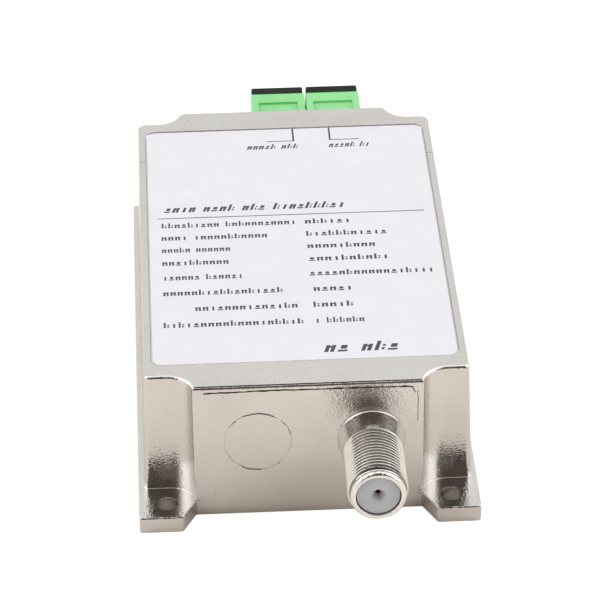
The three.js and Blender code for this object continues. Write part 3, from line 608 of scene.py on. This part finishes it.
def quarter_plan(half_width, face_y, channel_radius, corner, crest):
    """One corner of the case in plan, from the end face to the side.

    crest rounds the upright edge between the end face and the channel; corner rounds the outer one.
    """
    reach = channel_radius + crest
    down = EAR_Y - (face_y - crest)
    crest_x = EAR_X - math.sqrt(reach * reach - down * down)
    turn = math.atan2(EAR_X - crest_x, down)      # from straight out, round the ear's hole
    toward_ear = math.atan2(down, EAR_X - crest_x)
    points = arc(crest_x, face_y - crest, crest, math.pi / 2, toward_ear, 5)
    points += arc(EAR_X, EAR_Y, channel_radius, -math.pi / 2 - turn, -math.pi / 2, 14)[1:]
    setback = EAR_Y - channel_radius
    points += arc(half_width - corner, setback - corner, corner, math.pi / 2, 0, 5)
    return points


def whole_plan(front, back):
    """An anticlockwise outline from the front and back right-hand quarters."""
    plan = [(x, -y) for x, y in front]
    plan += list(reversed(back))
    plan += [(-x, y) for x, y in back]
    plan += [(-x, -y) for x, y in reversed(front)]
    return plan


def with_draft(rings):
    """Leans the side walls outwards towards the base."""
    for ring in rings:
        side = np.abs(ring[:, 0]) > EAR_X + 0.5
        ring[side, 0] += np.sign(ring[side, 0]) * SIDE_DRAFT * (1 - ring[side, 2] / CASE_HEIGHT)
    return rings


def case_walls():
    front = quarter_plan(TOP_HALF_WIDTH, FACE_Y, CHANNEL_RADIUS, FRONT_CORNER, FRONT_CREST)
    back = quarter_plan(TOP_HALF_WIDTH, FACE_Y, CHANNEL_RADIUS, BACK_CORNER, BACK_CREST)
    plan = whole_plan(front, back)
    off_face = np.array([min(1, max(0, (abs(x) - EAR_ROOT_X - 0.2) / 1.2)) for x, _ in plan])
    rings = [(0.01, 0), (EAR_THICKNESS - 0.2, ROOT), (EAR_THICKNESS, ROOT)]
    for k in range(1, 5):
        a = math.pi / 2 * k / 4
        rings.append((EAR_THICKNESS + ROOT * (1 - math.cos(a)), ROOT * (1 - math.sin(a))))
    lower = []
    normal = inset(plan, -1.0) - np.array(plan)
    for z, spread in rings:
        flat = np.array(plan) + normal * (spread * off_face)[:, None]
        lower.append(np.column_stack([flat, np.full(len(plan), z)]))
    worn = np.array([smooth_step((-y - 36) / 4) for _, y in plan])
    upper = []
    for share in np.linspace(0, 1, 8):
        turn = share * math.pi / 2
        radius = EDGE + (FRONT_EDGE - EDGE) * worn
        flat = np.array(plan) - normal * (radius * (1 - math.cos(turn)))[:, None]
        upper.append(np.column_stack([flat, CASE_HEIGHT - radius * (1 - math.sin(turn))]))
    return loft("case_shell", with_draft(lower + upper))


def case_base():
    quarter = [(EAR_ROOT_X, FACE_Y - TOUCHING_GAP, 0), (EAR_INNER_X, EAR_REACH, EAR_CORNER),
               (FLANGE_HALF_WIDTH, EAR_REACH, EAR_CORNER)]
    corners = [(x, -y, r) for x, y, r in quarter] + [(x, y, r) for x, y, r in reversed(quarter)]
    corners += [(-x, y, r) for x, y, r in quarter] + [(-x, -y, r) for x, y, r in reversed(quarter)]
    outline = round_corners(corners)
    return loft("case_base", plan_rings(outline, edge_rounding(0, EAR_THICKNESS, 0.25, 0.2)))


def upright_rod(name, radius, x, y, z0, z1, segments=40):
    outline = arc(x, y, radius, 0, 2 * math.pi, segments)[:-1]
    return loft(name, plan_rings(outline, [(z0, 0), (z1, 0)]))


def ear_hole(x, y):
    """A drill for a screw hole with its mouth eased."""
    rows = [(-CUT_PAST, 0), (0, 0), (EAR_THICKNESS - 0.16, 0), (EAR_THICKNESS - 0.05, -0.04),
            (EAR_THICKNESS, -0.14), (EAR_THICKNESS + CUT_PAST, -0.4)]
    outline = arc(x, y, EAR_HOLE_RADIUS, 0, 2 * math.pi, 48)[:-1]
    return loft("ear_hole", plan_rings(outline, rows))


def case_cavity():
    inner = quarter_plan(TOP_HALF_WIDTH - WALL, FACE_Y - WALL, CHANNEL_RADIUS + WALL, 0.3, 0.3)
    rows = edge_rounding(-CUT_PAST, CASE_HEIGHT - WALL, 0, 0.5)
    return loft("case_cavity", with_draft(plan_rings(whole_plan(inner, inner), rows)))


def cover_seat():
    _, high = box_mm("base_cover")
    half_width = high[0] + 0.2
    face = high[1] + 0.2
    seat = quarter_plan(half_width, face, CHANNEL_RADIUS + FACE_Y - face, 0.3, 0.2)
    rows = [(-CUT_PAST, 0), (high[2] + TOUCHING_GAP, 0)]
    return loft("cover_seat", plan_rings(whole_plan(seat, seat), rows))


def label_recess():
    margin = LABEL_MARGIN
    outline = rounded_rectangle(LABEL_LOW[0] - margin, LABEL_LOW[1] - margin, LABEL_HIGH[0] + margin,
                                LABEL_HIGH[1] + margin, RECESS_CORNER, 8)
    floor = CASE_HEIGHT - LABEL_RECESS
    rows = [(floor, 0.06), (floor + 0.04, 0.01), (floor + 0.1, 0), (CASE_HEIGHT - 0.1, 0),
            (CASE_HEIGHT - 0.03, -0.03), (CASE_HEIGHT, -0.1), (CASE_HEIGHT + 0.5, -0.2)]
    return loft("label_recess", plan_rings(outline, rows))


def groove_ring():
    """A cutter for the fine round line of the closed port position, of uneven width and depth."""
    steps, sides = 160, 5
    vertices = []
    faces = []
    for k in range(steps):
        angle = 2 * math.pi * k / steps
        out = Vector((math.cos(angle), math.sin(angle)))
        wear = 0.5 + 0.5 * noise.noise(Vector((out.x * 2.6, out.y * 2.6, 3.1)))
        wide = 0.09 + 0.09 * wear
        deep = 0.03 + 0.11 * wear
        radius = BLANK_RADIUS + 0.07 * noise.noise(Vector((out.x * 5, out.y * 5, 0.4)))
        section = [(radius - wide, -0.3), (radius + wide, -0.3), (radius + wide, 0), (radius, deep),
                   (radius - wide, 0)]
        vertices += [(BLANK_X + r * out.x, d - FACE_Y, PORT_Z + r * out.y) for r, d in section]
        here, ahead = k * sides, (k + 1) % steps * sides
        for i in range(sides):
            j = (i + 1) % sides
            faces.append((here + i, here + j, ahead + j, ahead + i))
    return new_object("groove_ring", vertices, faces)


def groove_line(name, points, wide=0.13, deep=0.11):
    """A V-shaped cutter along a line of (x, z) points on the front face, of uneven width and depth."""
    rings = []
    path = []
    step_length = 0.35
    for start, end in zip(points, points[1:]):
        start, end = Vector(start), Vector(end)
        steps = max(1, round((end - start).length / step_length))
        path += [start.lerp(end, k / steps) for k in range(steps)]
    path.append(Vector(points[-1]))
    for i, here in enumerate(path):
        ahead = path[min(i + 1, len(path) - 1)] - path[max(i - 1, 0)]
        wear = 0.5 + 0.7 * noise.noise(Vector((here.x * 0.9, here.y * 0.9, 7.7)))
        side = Vector((-ahead.y, ahead.x)).normalized() * wide * (0.7 + 0.8 * wear)
        here = here + side * 0.5 * noise.noise(Vector((here.x * 1.7, here.y * 1.7, 1.2)))
        outer = [(here.x + side.x, -FACE_Y - 0.3, here.y + side.y),
                 (here.x - side.x, -FACE_Y - 0.3, here.y - side.y)]
        inner = [(here.x - side.x, -FACE_Y, here.y - side.y), (here.x, -FACE_Y + deep * (0.5 + wear), here.y),
                 (here.x + side.x, -FACE_Y, here.y + side.y)]
        rings.append(np.array(outer + inner))
    return loft(name, rings)


def insert_lines():
    """Where a slide of the die met the front face: under the top edge, and down beside the port."""
    top = CASE_HEIGHT - 0.95
    across = [(-16.4, top - 0.05), (-12, top + 0.02), (-6, top + 0.12), (15.6, top), (16.3, top - 0.15),
              (16.75, top - 1.2)]
    down = [(17.1, top - 0.9), (17.2, top - 2.5), (17.15, top - 6.5)]
    return [groove_line("insert_line", across), groove_line("insert_line_side", down, 0.1, 0.08)]


def margin_nicks():
    """Short parting lines across the narrow margins beside the label."""
    nicks = []
    half_width = depth = 0.07
    rows = [(CASE_HEIGHT - depth, 0.05), (CASE_HEIGHT, 0), (CASE_HEIGHT + 0.2, 0)]
    for side, y in NICK_Y.items():
        x0, x1 = sorted((side * (LABEL_HIGH[0] + 0.1), side * (TOP_HALF_WIDTH + 0.2)))
        outline = rounded_rectangle(x0, y - half_width, x1, y + half_width, 0.03, 2)
        nicks.append(loft("nick", plan_rings(outline, rows)))
    return nicks


def casting_flash():
    """Small beads of metal left where the ears meet the front face."""
    beads = []
    right_count, left_count = 7, 4
    for side, count in ((1, right_count), (-1, left_count)):
        for _ in range(count):
            radius = RANDOM.uniform(0.12, 0.3)
            x = side * (EAR_ROOT_X + RANDOM.uniform(-0.5, 0.25))
            z = EAR_THICKNESS + RANDOM.uniform(-0.7, 0.9)
            turns = [math.pi * k / 6 for k in range(7)]
            profile = [(radius * math.sin(a), -radius * math.cos(a)) for a in turns]
            bead = lathe("bead", profile, (0, 0, 0), 10)
            for vertex in bead.data.vertices:
                lump = 1 + 0.35 * noise.noise(vertex.co * 9000 + Vector((x, 0, z)))
                vertex.co = vertex.co * lump + Vector((x, -FACE_Y - TOUCHING_GAP, z)) * MM
            beads.append(bead)
    return beads


def screw_axes(name, count):
    """The (x, y) of each of a kind of screw."""
    places = []
    for i in range(1, count + 1):
        low, high = box_mm(f"{name}_{i}")
        places.append((low[:2] + high[:2]) / 2)
    return places


def case_shell():
    shell = join(case_walls(), case_base())
    cut(shell, case_cavity(), cover_seat())
    cover_screws, board_screws = screw_axes("cover_screw", 4), screw_axes("board_screw", 3)
    board_top = box_mm("circuit_board")[1][2]
    post_foot, post_top = 1.02, CASE_HEIGHT - WALL + 0.4
    hole_foot, hole_top = 0.5, 9
    posts = [upright_rod("post", COVER_POST_RADIUS, x, y, post_foot, post_top) for x, y in cover_screws]
    posts += [upright_rod("post", BOARD_POST_RADIUS, x, y, board_top + TOUCHING_GAP, post_top)
              for x, y in board_screws]
    join(shell, *posts)
    drills = [upright_rod("drill", SCREW_HOLE_RADIUS, x, y, hole_foot, hole_top, 20) for x, y in cover_screws]
    drills += [upright_rod("drill", SCREW_HOLE_RADIUS, x, y, board_top - 1, board_top + 6, 20)
               for x, y in board_screws]
    cut(shell, *drills)
    cut(shell, *[ear_hole(sx * EAR_HOLE_X, sy * EAR_HOLE_Y) for sx in (1, -1) for sy in (1, -1)])
    outside, inside = -FACE_Y - CUT_PAST, -FACE_Y + WALL + CUT_PAST
    hole = [(0, outside), (PORT_HOLE_RADIUS, outside), (PORT_HOLE_RADIUS, inside), (0, inside)]
    cut(shell, lathe("port_hole", hole, (PORT_X, 0, PORT_Z), 48))
    out_low, _ = box_mm("sc_out_housing_outer")
    _, in_high = box_mm("sc_in_housing_outer")
    gap = PORT_WINDOW_GAP
    window = rounded_rectangle(out_low[0] - gap, out_low[2] - gap, in_high[0] + gap, in_high[2] + gap, 0.4)
    rows = [(FACE_Y - WALL - CUT_PAST, 0), (FACE_Y - 0.15, 0), (FACE_Y, -0.12), (FACE_Y + CUT_PAST, -0.5)]
    cut(shell, loft("window", end_rings(window, rows)))
    cut(shell, label_recess(), groove_ring(), *insert_lines(), *margin_nicks())
    join(shell, *casting_flash())
    finish_piece(shell, "case", "nickel_plate", "case_body")


# -------------------- label and its print

def label():
    outline = rounded_rectangle(LABEL_LOW[0], LABEL_LOW[1], LABEL_HIGH[0], LABEL_HIGH[1], LABEL_CORNER, 8)
    film = loft("label_film", plan_rings(outline, edge_rounding(LABEL_LOW[2], LABEL_HIGH[2], 0, 0.06, 3)))
    finish_piece(film, "case", "label_film", "top_label")


class Print:
    """Flat blocks of ink on the film, gathered into one piece."""

    THICKNESS = 0.012
    LIFT = 0.001
    WORD_SPACE = 0.8        # in marks

    def __init__(self, name):
        self.name = name
        self.vertices = []
        self.faces = []

    def quad(self, corners):
        base = len(self.vertices)
        low = LABEL_HIGH[2] + self.LIFT
        for z in (low, low + self.THICKNESS):
            self.vertices += [(x, y, z) for x, y in corners]
        a, b, c, d, e, f, g, h = range(base, base + 8)
        self.faces += [(d, c, b, a), (e, f, g, h), (a, b, f, e), (b, c, g, f), (c, d, h, g), (d, a, e, h)]

    def bar(self, x0, y0, x1, y1, slant=0.0, foot=0.0):
        """A block from its low to its high corner; slant leans it, measured from the line's foot."""
        low = slant * (y0 - foot)
        high = slant * (y1 - foot)
        self.quad([(x0 + low, y0), (x1 + low, y0), (x1 + high, y1), (x0 + high, y1)])

    def word(self, x, foot, marks, pitch, height, slant=0.0, weight=0.27):
        """Greeked print: a row of abstract marks that stand for a word, with no letters in it."""
        body = height * 0.72
        wide = pitch * 0.74
        stroke = weight * pitch
        gap = stroke * 1.7
        inset_foot = wide * 0.35
        for _ in range(marks):
            kind = RANDOM.random()
            if kind < 0.42:
                blocks = [(0, 0, stroke, body), (wide - stroke, 0, wide, body),
                          (stroke, body * 0.62, wide - stroke, body * 0.85)]
            elif kind < 0.68:
                blocks = [(0, 0, stroke, height), (gap, body * 0.1, wide, body * 0.42),
                          (gap, body * 0.62, wide, body * 0.86)]
            elif kind < 0.86:
                blocks = [(0, 0, wide, body * 0.26), (wide * 0.2, body * 0.42, wide * 0.85, body * 0.95)]
            else:
                blocks = [(inset_foot, 0, inset_foot + stroke, body)]
            for x0, y0, x1, y1 in blocks:
                self.bar(x + x0, foot + y0, x + x1, foot + y1, slant, foot)
            x += pitch
        return x

    def line(self, x0, x1, foot, words, height, slant=0.0, weight=0.27):
        """Words of the given mark counts, spread from x0 to x1."""
        cells = sum(words) + self.WORD_SPACE * (len(words) - 1) - 0.26
        pitch = (x1 - x0) / cells
        x = x0
        for marks in words:
            x = self.word(x, foot, marks, pitch, height, slant, weight)
            x += self.WORD_SPACE * pitch

    def finish(self):
        piece = new_object(self.name, self.vertices, self.faces)
        finish_piece(piece, "case", "label_film", material=INK)


def label_print():
    """Greeked captions, heading, table and port mark, and the plain lines between them."""
    italic, bold, heading_weight = 0.28, 0.3, 0.32
    caption_foot, caption_height = 30.65, 1.65
    captions = Print("print_port_captions")
    captions.line(-6.8, 2.0, caption_foot, (5, 3), caption_height, italic, bold)
    captions.line(7.5, 14.5, caption_foot, (5, 2), caption_height, italic, bold)
    captions.finish()

    leaders = Print("print_port_leaders")
    elbow = 33.3
    edge = LABEL_HIGH[1] - 0.1
    leaders.bar(1.35, elbow, 1.65, edge)
    leaders.bar(-3.2, elbow - 0.12, 1.65, elbow + 0.1)
    leaders.bar(7.75, elbow, 8.05, edge)
    leaders.bar(7.75, elbow - 0.12, 13.0, elbow + 0.1)
    leaders.finish()

    heading = Print("print_heading")
    heading.line(-21.6, 8.8, 10.05, (4, 4, 3, 9), 2.05, italic, heading_weight)
    heading.finish()
    rule = Print("print_rule")
    rule.bar(-22.7, 8.0, 22.4, 8.2)
    rule.finish()

    # Each row of the table has a left and a right cell: start, end and the marks in each word
    table = Print("print_table")
    first, drops, row_height = 4.95, (0, 4.0, 7.95, 12.0, 16.6, 21.4, 26.25, 31.05), 1.6
    left = (
        (-22.0, 0.5, (9, 11)), (-22.1, -4.5, (4, 11)), (-22.1, -10.8, (5, 6)), (-22.1, -11.2, (10,)),
        (-22.1, -9.0, (6, 6)), (-22.1, -2.7, (17,)), (-17.0, -0.5, (14,)), (-22.2, 0.2, (19,)),
    )
    right = (
        (2.1, 9.7, (6,)), (2.1, 15.5, (11,)), (2.1, 13.3, (9,)), (2.1, 15.3, (10,)),
        (2.0, 22.4, (17,)), (2.4, 8.7, (5,)), (2.1, 8.5, (5,)), (2.1, 10.0, (1, 6)),
    )
    for drop, (x0, x1, words), (u0, u1, more) in zip(drops, left, right):
        table.line(x0, x1, first - drop, words, row_height)
        table.line(u0, u1, first - drop, more, row_height)
    table.finish()

    mark = Print("print_port_mark")
    mark.line(3.0, 14.6, -34.75, (2, 3), 2.7, italic, bold)
    mark.finish()


# -------------------- F-type port

def f_port_shell():
    """Tapered collar, true helical thread, nose ring and bore in one turned piece."""
    seat = -FACE_Y - TOUCHING_GAP
    rear, nose = SHELL_HIGH[1], SHELL_LOW[1]
    collar = SHELL_HIGH[0] - PORT_X
    collar_end = seat - COLLAR_LENGTH
    thread_start = collar_end - 0.03
    thread_end = nose + NOSE_LENGTH
    profile = [(BORE_RADIUS, rear), (4.4, rear), (SHANK_RADIUS, rear - 0.2), (SHANK_RADIUS, seat)]
    # the lip and its bevel, then the taper
    profile += [(collar - 0.1, seat), (collar - 0.03, seat - 0.03), (collar, seat - 0.1),
                (collar, seat - 0.3), (collar - 0.03, seat - 0.4), (collar - 0.11, seat - 0.56),
                (collar - 0.14, seat - 0.64)]
    profile += [(CREST_RADIUS + 0.03, collar_end + 0.1), (CREST_RADIUS, collar_end)]
    rows = THREAD_TURNS * 24
    for k in range(rows + 1):
        profile.append((ROOT_RADIUS, thread_start + (thread_end - thread_start) * k / rows))
    # a relief, then the nose ring with its chamfer
    relief, chamfered = ROOT_RADIUS - 0.05, NOSE_RADIUS - NOSE_CHAMFER
    profile += [(relief, thread_end - 0.04), (relief, thread_end - 0.22),
                (NOSE_RADIUS - 0.04, thread_end - 0.26), (NOSE_RADIUS, thread_end - 0.32),
                (NOSE_RADIUS, nose + NOSE_CHAMFER + 0.04), (NOSE_RADIUS - 0.02, nose + NOSE_CHAMFER - 0.02),
                (chamfered + 0.03, nose + 0.02), (chamfered - 0.03, nose)]
    profile += [(BORE_RADIUS + 0.12, nose), (BORE_RADIUS + 0.03, nose + 0.03), (BORE_RADIUS, nose + 0.12),
                (BORE_RADIUS, nose + 6)]

    def thread(radius, place, angle):
        """Cuts the groove in from the collar on, and fades the ridge out at the nose."""
        inside = thread_end <= place <= thread_start and radius == ROOT_RADIUS
        if not inside:
            return radius
        depth = CREST_RADIUS - ROOT_RADIUS
        turn = ((thread_start - place) / THREAD_PITCH + angle / (2 * math.pi)) % 1
        wave = 1 - abs(2 * turn - 1)
        height = min(1, max(0, (wave - 0.14) / 0.66))
        groove = depth * (1 - height) * smooth_step((thread_start - place) / 0.3)
        return ROOT_RADIUS + (depth - groove) * smooth_step((place - thread_end) / THREAD_RUNOUT)

    shell = lathe("f_port_shell_fine", profile, (PORT_X, 0, PORT_Z), 112, ripple=thread)
    finish_piece(shell, "case", "connector_plate", "f_port_shell", angle=80)


def f_port_insulator():
    """A disc with a funnel that guides the centre wire into the contact."""
    front, rear = INSULATOR_LOW[1], INSULATOR_HIGH[1]
    radius = INSULATOR_RADIUS
    profile = [(radius, rear), (radius, front + 0.15), (radius - 0.05, front + 0.04), (radius - 0.18, front)]
    profile += [(1.4, front), (1.2, front + 0.05), (1.05, front + 0.18), (0.42, front + 1.05)]
    profile += [(CONTACT_HOLE, front + 1.15), (CONTACT_HOLE, front + 1.2)]
    profile += [(CONTACT_BORE, front + 1.3), (CONTACT_BORE, rear)]
    disc = lathe("f_port_insulator_fine", profile, (PORT_X, 0, PORT_Z), 64)
    finish_piece(disc, "case", "insulator_plastic", "f_port_insulator")


# -------------------- SC ports and dust caps

def end_frame(node):
    """A node's ends along Y, the (x, z) of its axis, and half its width and height."""
    low, high = box_mm(node)
    middle, half = (low + high) / 2, (high - low) / 2
    return low[1], high[1], middle[0], middle[2], half[0], half[2]


def sc_outer(port):
    """A housing with a mouth right through, a pocket above and below, and a keyway at one side."""
    rear, face, x, z, half_w, half_h = end_frame(f"sc_{port}_housing_outer")
    outline = centred_rectangle(half_w, half_h, 0.35)
    housing = loft(f"sc_{port}_housing_shell", end_rings(outline, edge_rounding(rear, face, 0, 0.2), x, z))
    mouth = centred_rectangle(3.75, 4.55, 0.25)
    rows = [(rear - CUT_PAST, 0), (face - 0.45, 0), (face, -0.25), (face + CUT_PAST, -0.25)]
    cut(housing, loft("mouth", end_rings(mouth, rows, x, z)))
    pocket_half_width, pocket_length, pocket_depth = 3.55, 8.5, 0.4
    pocket_end = face - 3.2
    pocket = rounded_rectangle(x - pocket_half_width, pocket_end - pocket_length, x + pocket_half_width,
                               pocket_end, 0.25)
    for side in (1, -1):
        rows = [(pocket_depth, 0.05), (pocket_depth - 0.05, 0), (0.06, 0), (0, -0.06), (-0.5, -0.2)]
        levels = [(z + side * (half_h - depth), d) for depth, d in rows]
        cut(housing, loft("pocket", plan_rings(pocket, levels)))
    key = rounded_rectangle(-4.25, -1.2, -3, 1.2, 0.1)
    cut(housing, loft("key", end_rings(key, [(face - 9, 0), (face + CUT_PAST, 0)], x, z)))
    finish_piece(housing, "case", "green_plastic", f"sc_{port}_housing_outer")


def dust_cap(port):
    """A hollow skirt that fills the port, a plate with eased edges and a dished, ribbed end to grip."""
    skirt_end, grip, x, z, half_w, half_h = end_frame(f"dust_cap_{port}")
    seat = end_frame(f"sc_{port}_housing_outer")[1] + TOUCHING_GAP
    outline = centred_rectangle(half_w, half_h, 0.3)
    cap = loft(f"dust_cap_{port}_fine", end_rings(outline, edge_rounding(seat, grip, 0.1, 0.2), x, z))
    skirt = centred_rectangle(3.6, 4.4, 0.4)
    join(cap, loft("skirt", end_rings(skirt, edge_rounding(skirt_end, seat + 0.8, 0.25, 0), x, z)))
    hollow = centred_rectangle(2.6, 3.4, 0.3)
    rows = [(skirt_end - CUT_PAST, 0), (seat - 0.1, 0), (seat, 0.1)]
    cut(cap, loft("hollow", end_rings(hollow, rows, x, z)))
    dish = centred_rectangle(half_w - 1.2, half_h - 1.4, 0.6)
    rows = [(grip - 0.4, 0.12), (grip - 0.34, 0.02), (grip - 0.08, -0.02), (grip, -0.1), (grip + 0.5, -0.3)]
    cut(cap, loft("dish", end_rings(dish, rows, x, z)))
    ribs = []
    rib_pitch, rib_half_width, rib_reach = 1.5, 0.28, half_w - 1.9
    for k in range(-2, 3):
        middle = rib_pitch * k
        rib = rounded_rectangle(-rib_reach, middle - rib_half_width, rib_reach, middle + rib_half_width, 0.2)
        ribs.append(loft("rib", end_rings(rib, edge_rounding(grip - 0.6, grip - 0.1, 0, 0.12), x, z)))
    join(cap, *ribs)
    finish_piece(cap, f"dust_cap_{port}", "black_plastic", f"dust_cap_{port}")


# -------------------- stage, light and camera

# The room's tones, as the colour of the light from each part of it
ROOM_TONE = (0.90, 0.895, 0.885)
SIDE_TONE = (2.0, 2.0, 2.0)
OVERHEAD_TONE = (1.4, 1.4, 1.4)
FRONT_TONE = (0.11, 0.085, 0.078)
LOW_FRONT_TONE = (0.2, 0.175, 0.16)
FRONT_ELEVATION = math.radians(33)       # height of the dim part of the room in front of the object


def pale_floor():
    """Pale paper with a glow of its own."""
    n = Nodes("pale_floor")
    colour = (0.62, 0.62, 0.62)
    tone = n.ramp(n.noise(60, detail=2), (0.3, tuple(c * 0.985 for c in colour)), (0.7, colour))
    return n.set(Base_Color=tone, Roughness=0.7, Emission_Color=(1.0, 1.0, 1.0), Emission_Strength=0.7)


def shadow_painted_floor():
    """Paper that takes a warm tone, with a painted shadow close to the case."""
    n = Nodes("shadow_painted_floor")
    shade_reach = 36 * MM
    x, y, _ = n.axes()
    squares = []
    for along, reach in ((x, FLANGE_HALF_WIDTH), (y, FACE_Y)):
        away = n.math("MAXIMUM", n.math("SUBTRACT", n.math("ABSOLUTE", along), reach * MM), 0.0)
        squares.append(n.math("POWER", away, 2.0))
    away = n.math("SQRT", n.math("ADD", *squares))
    # painted shadow: darkest against the case, lighter out to shade_reach
    tone = n.ramp(n.range(away, 0, shade_reach, 0, 1), (0.0, (0.62, 0.55, 0.49)),
                  (0.07, (0.86, 0.785, 0.71)), (0.35, (0.86, 0.795, 0.73)), (1.0, (0.92, 0.86, 0.80)))
    return n.set(Base_Color=tone, Roughness=0.8)


def floor_sheet(name, material):
    half = 12.0
    corners = [(-half, -half, 0), (half, -half, 0), (half, half, 0), (-half, half, 0)]
    mesh = bpy.data.meshes.new(name)
    mesh.from_pydata(corners, [], [(0, 1, 2, 3)])
    mesh.materials.append(material)
    sheet = bpy.data.objects.new(name, mesh)
    bpy.context.scene.collection.objects.link(sheet)
    return sheet


def stage():
    """A pale floor that only the camera sees, and a warm one with a painted shadow in its place for
    reflections and bounce.
    """
    seen = floor_sheet("floor", pale_floor())
    for ray in ("glossy", "diffuse", "shadow", "transmission"):
        setattr(seen, f"visible_{ray}", False)
    bounce = floor_sheet("floor_bounce", shadow_painted_floor())
    bounce.visible_camera = False


def room_light():
    """Soft light from all round: brightest at the sides and overhead, and dim in front."""
    world = bpy.data.worlds.new("studio")
    world.use_nodes = True
    n = Tree(world.node_tree)
    direction = n.node("ShaderNodeTexCoord").outputs["Generated"]

    def toward(axis, wide, narrow):
        """1 in the direction of axis, falling to 0; wide and narrow are angles from it in degrees."""
        dot = n.node("ShaderNodeVectorMath", operation="DOT_PRODUCT")
        dot.inputs[1].default_value = axis
        n.link(direction, dot.inputs[0])
        outer, inner = math.cos(math.radians(wide)), math.cos(math.radians(narrow))
        return n.range(dot.outputs["Value"], outer, inner, 0, 1, interpolation_type="SMOOTHSTEP")

    light = ROOM_TONE
    lift = toward((0, 0, 1), 88, 68)         # keeps the side light off the horizon
    for side in (-1, 1):
        share = n.math("MULTIPLY", toward((side * 0.88, 0, 0.47), 56, 24), lift)
        light = n.mix(share, light, SIDE_TONE)
    light = n.mix(toward((0, 0.3, 0.95), 42, 8), light, OVERHEAD_TONE)
    front = (0, -math.cos(FRONT_ELEVATION), math.sin(FRONT_ELEVATION))
    light = n.mix(toward(front, 53, 26), light, FRONT_TONE)
    for side in (-1, 1):
        light = n.mix(toward((side * 0.5, -0.85, 0.17), 32, 12), light, LOW_FRONT_TONE)
    n.link(light, n.tree.nodes["Background"].inputs["Color"])
    bpy.context.scene.world = world


def camera():
    """A long lens, above and in front, very slightly to the left and rolled a little."""
    yaw, elevation, roll = math.radians(2.58), math.radians(32.18), math.radians(-0.64)
    distance, target = 0.5755, Vector((0.00085, 0, 0.01197))
    level = math.cos(elevation)
    back = Vector((-math.sin(yaw) * level, -math.cos(yaw) * level, math.sin(elevation)))
    right = (-back).cross(Vector((0, 0, 1))).normalized()
    up = right.cross(-back)
    turned_right = math.cos(roll) * right + math.sin(roll) * up
    turned_up = -math.sin(roll) * right + math.cos(roll) * up
    data = bpy.data.cameras.new("camera")
    data.sensor_width = 36
    data.lens = 204.7
    data.clip_start, data.clip_end = 0.01, 50
    viewer = bpy.data.objects.new("camera", data)
    matrix = Matrix((turned_right, turned_up, back)).transposed().to_4x4()
    matrix.translation = target + back * distance
    viewer.matrix_world = matrix
    bpy.context.scene.collection.objects.link(viewer)
    bpy.context.scene.camera = viewer


def build():
    dress_cad_nodes()
    case_shell()
    label()
    label_print()
    f_port_shell()
    f_port_insulator()
    for port in ("out", "in"):
        sc_outer(port)
        dust_cap(port)
    stage()
    room_light()
    camera()
    bpy.context.scene.view_settings.view_transform = "Standard"


build()
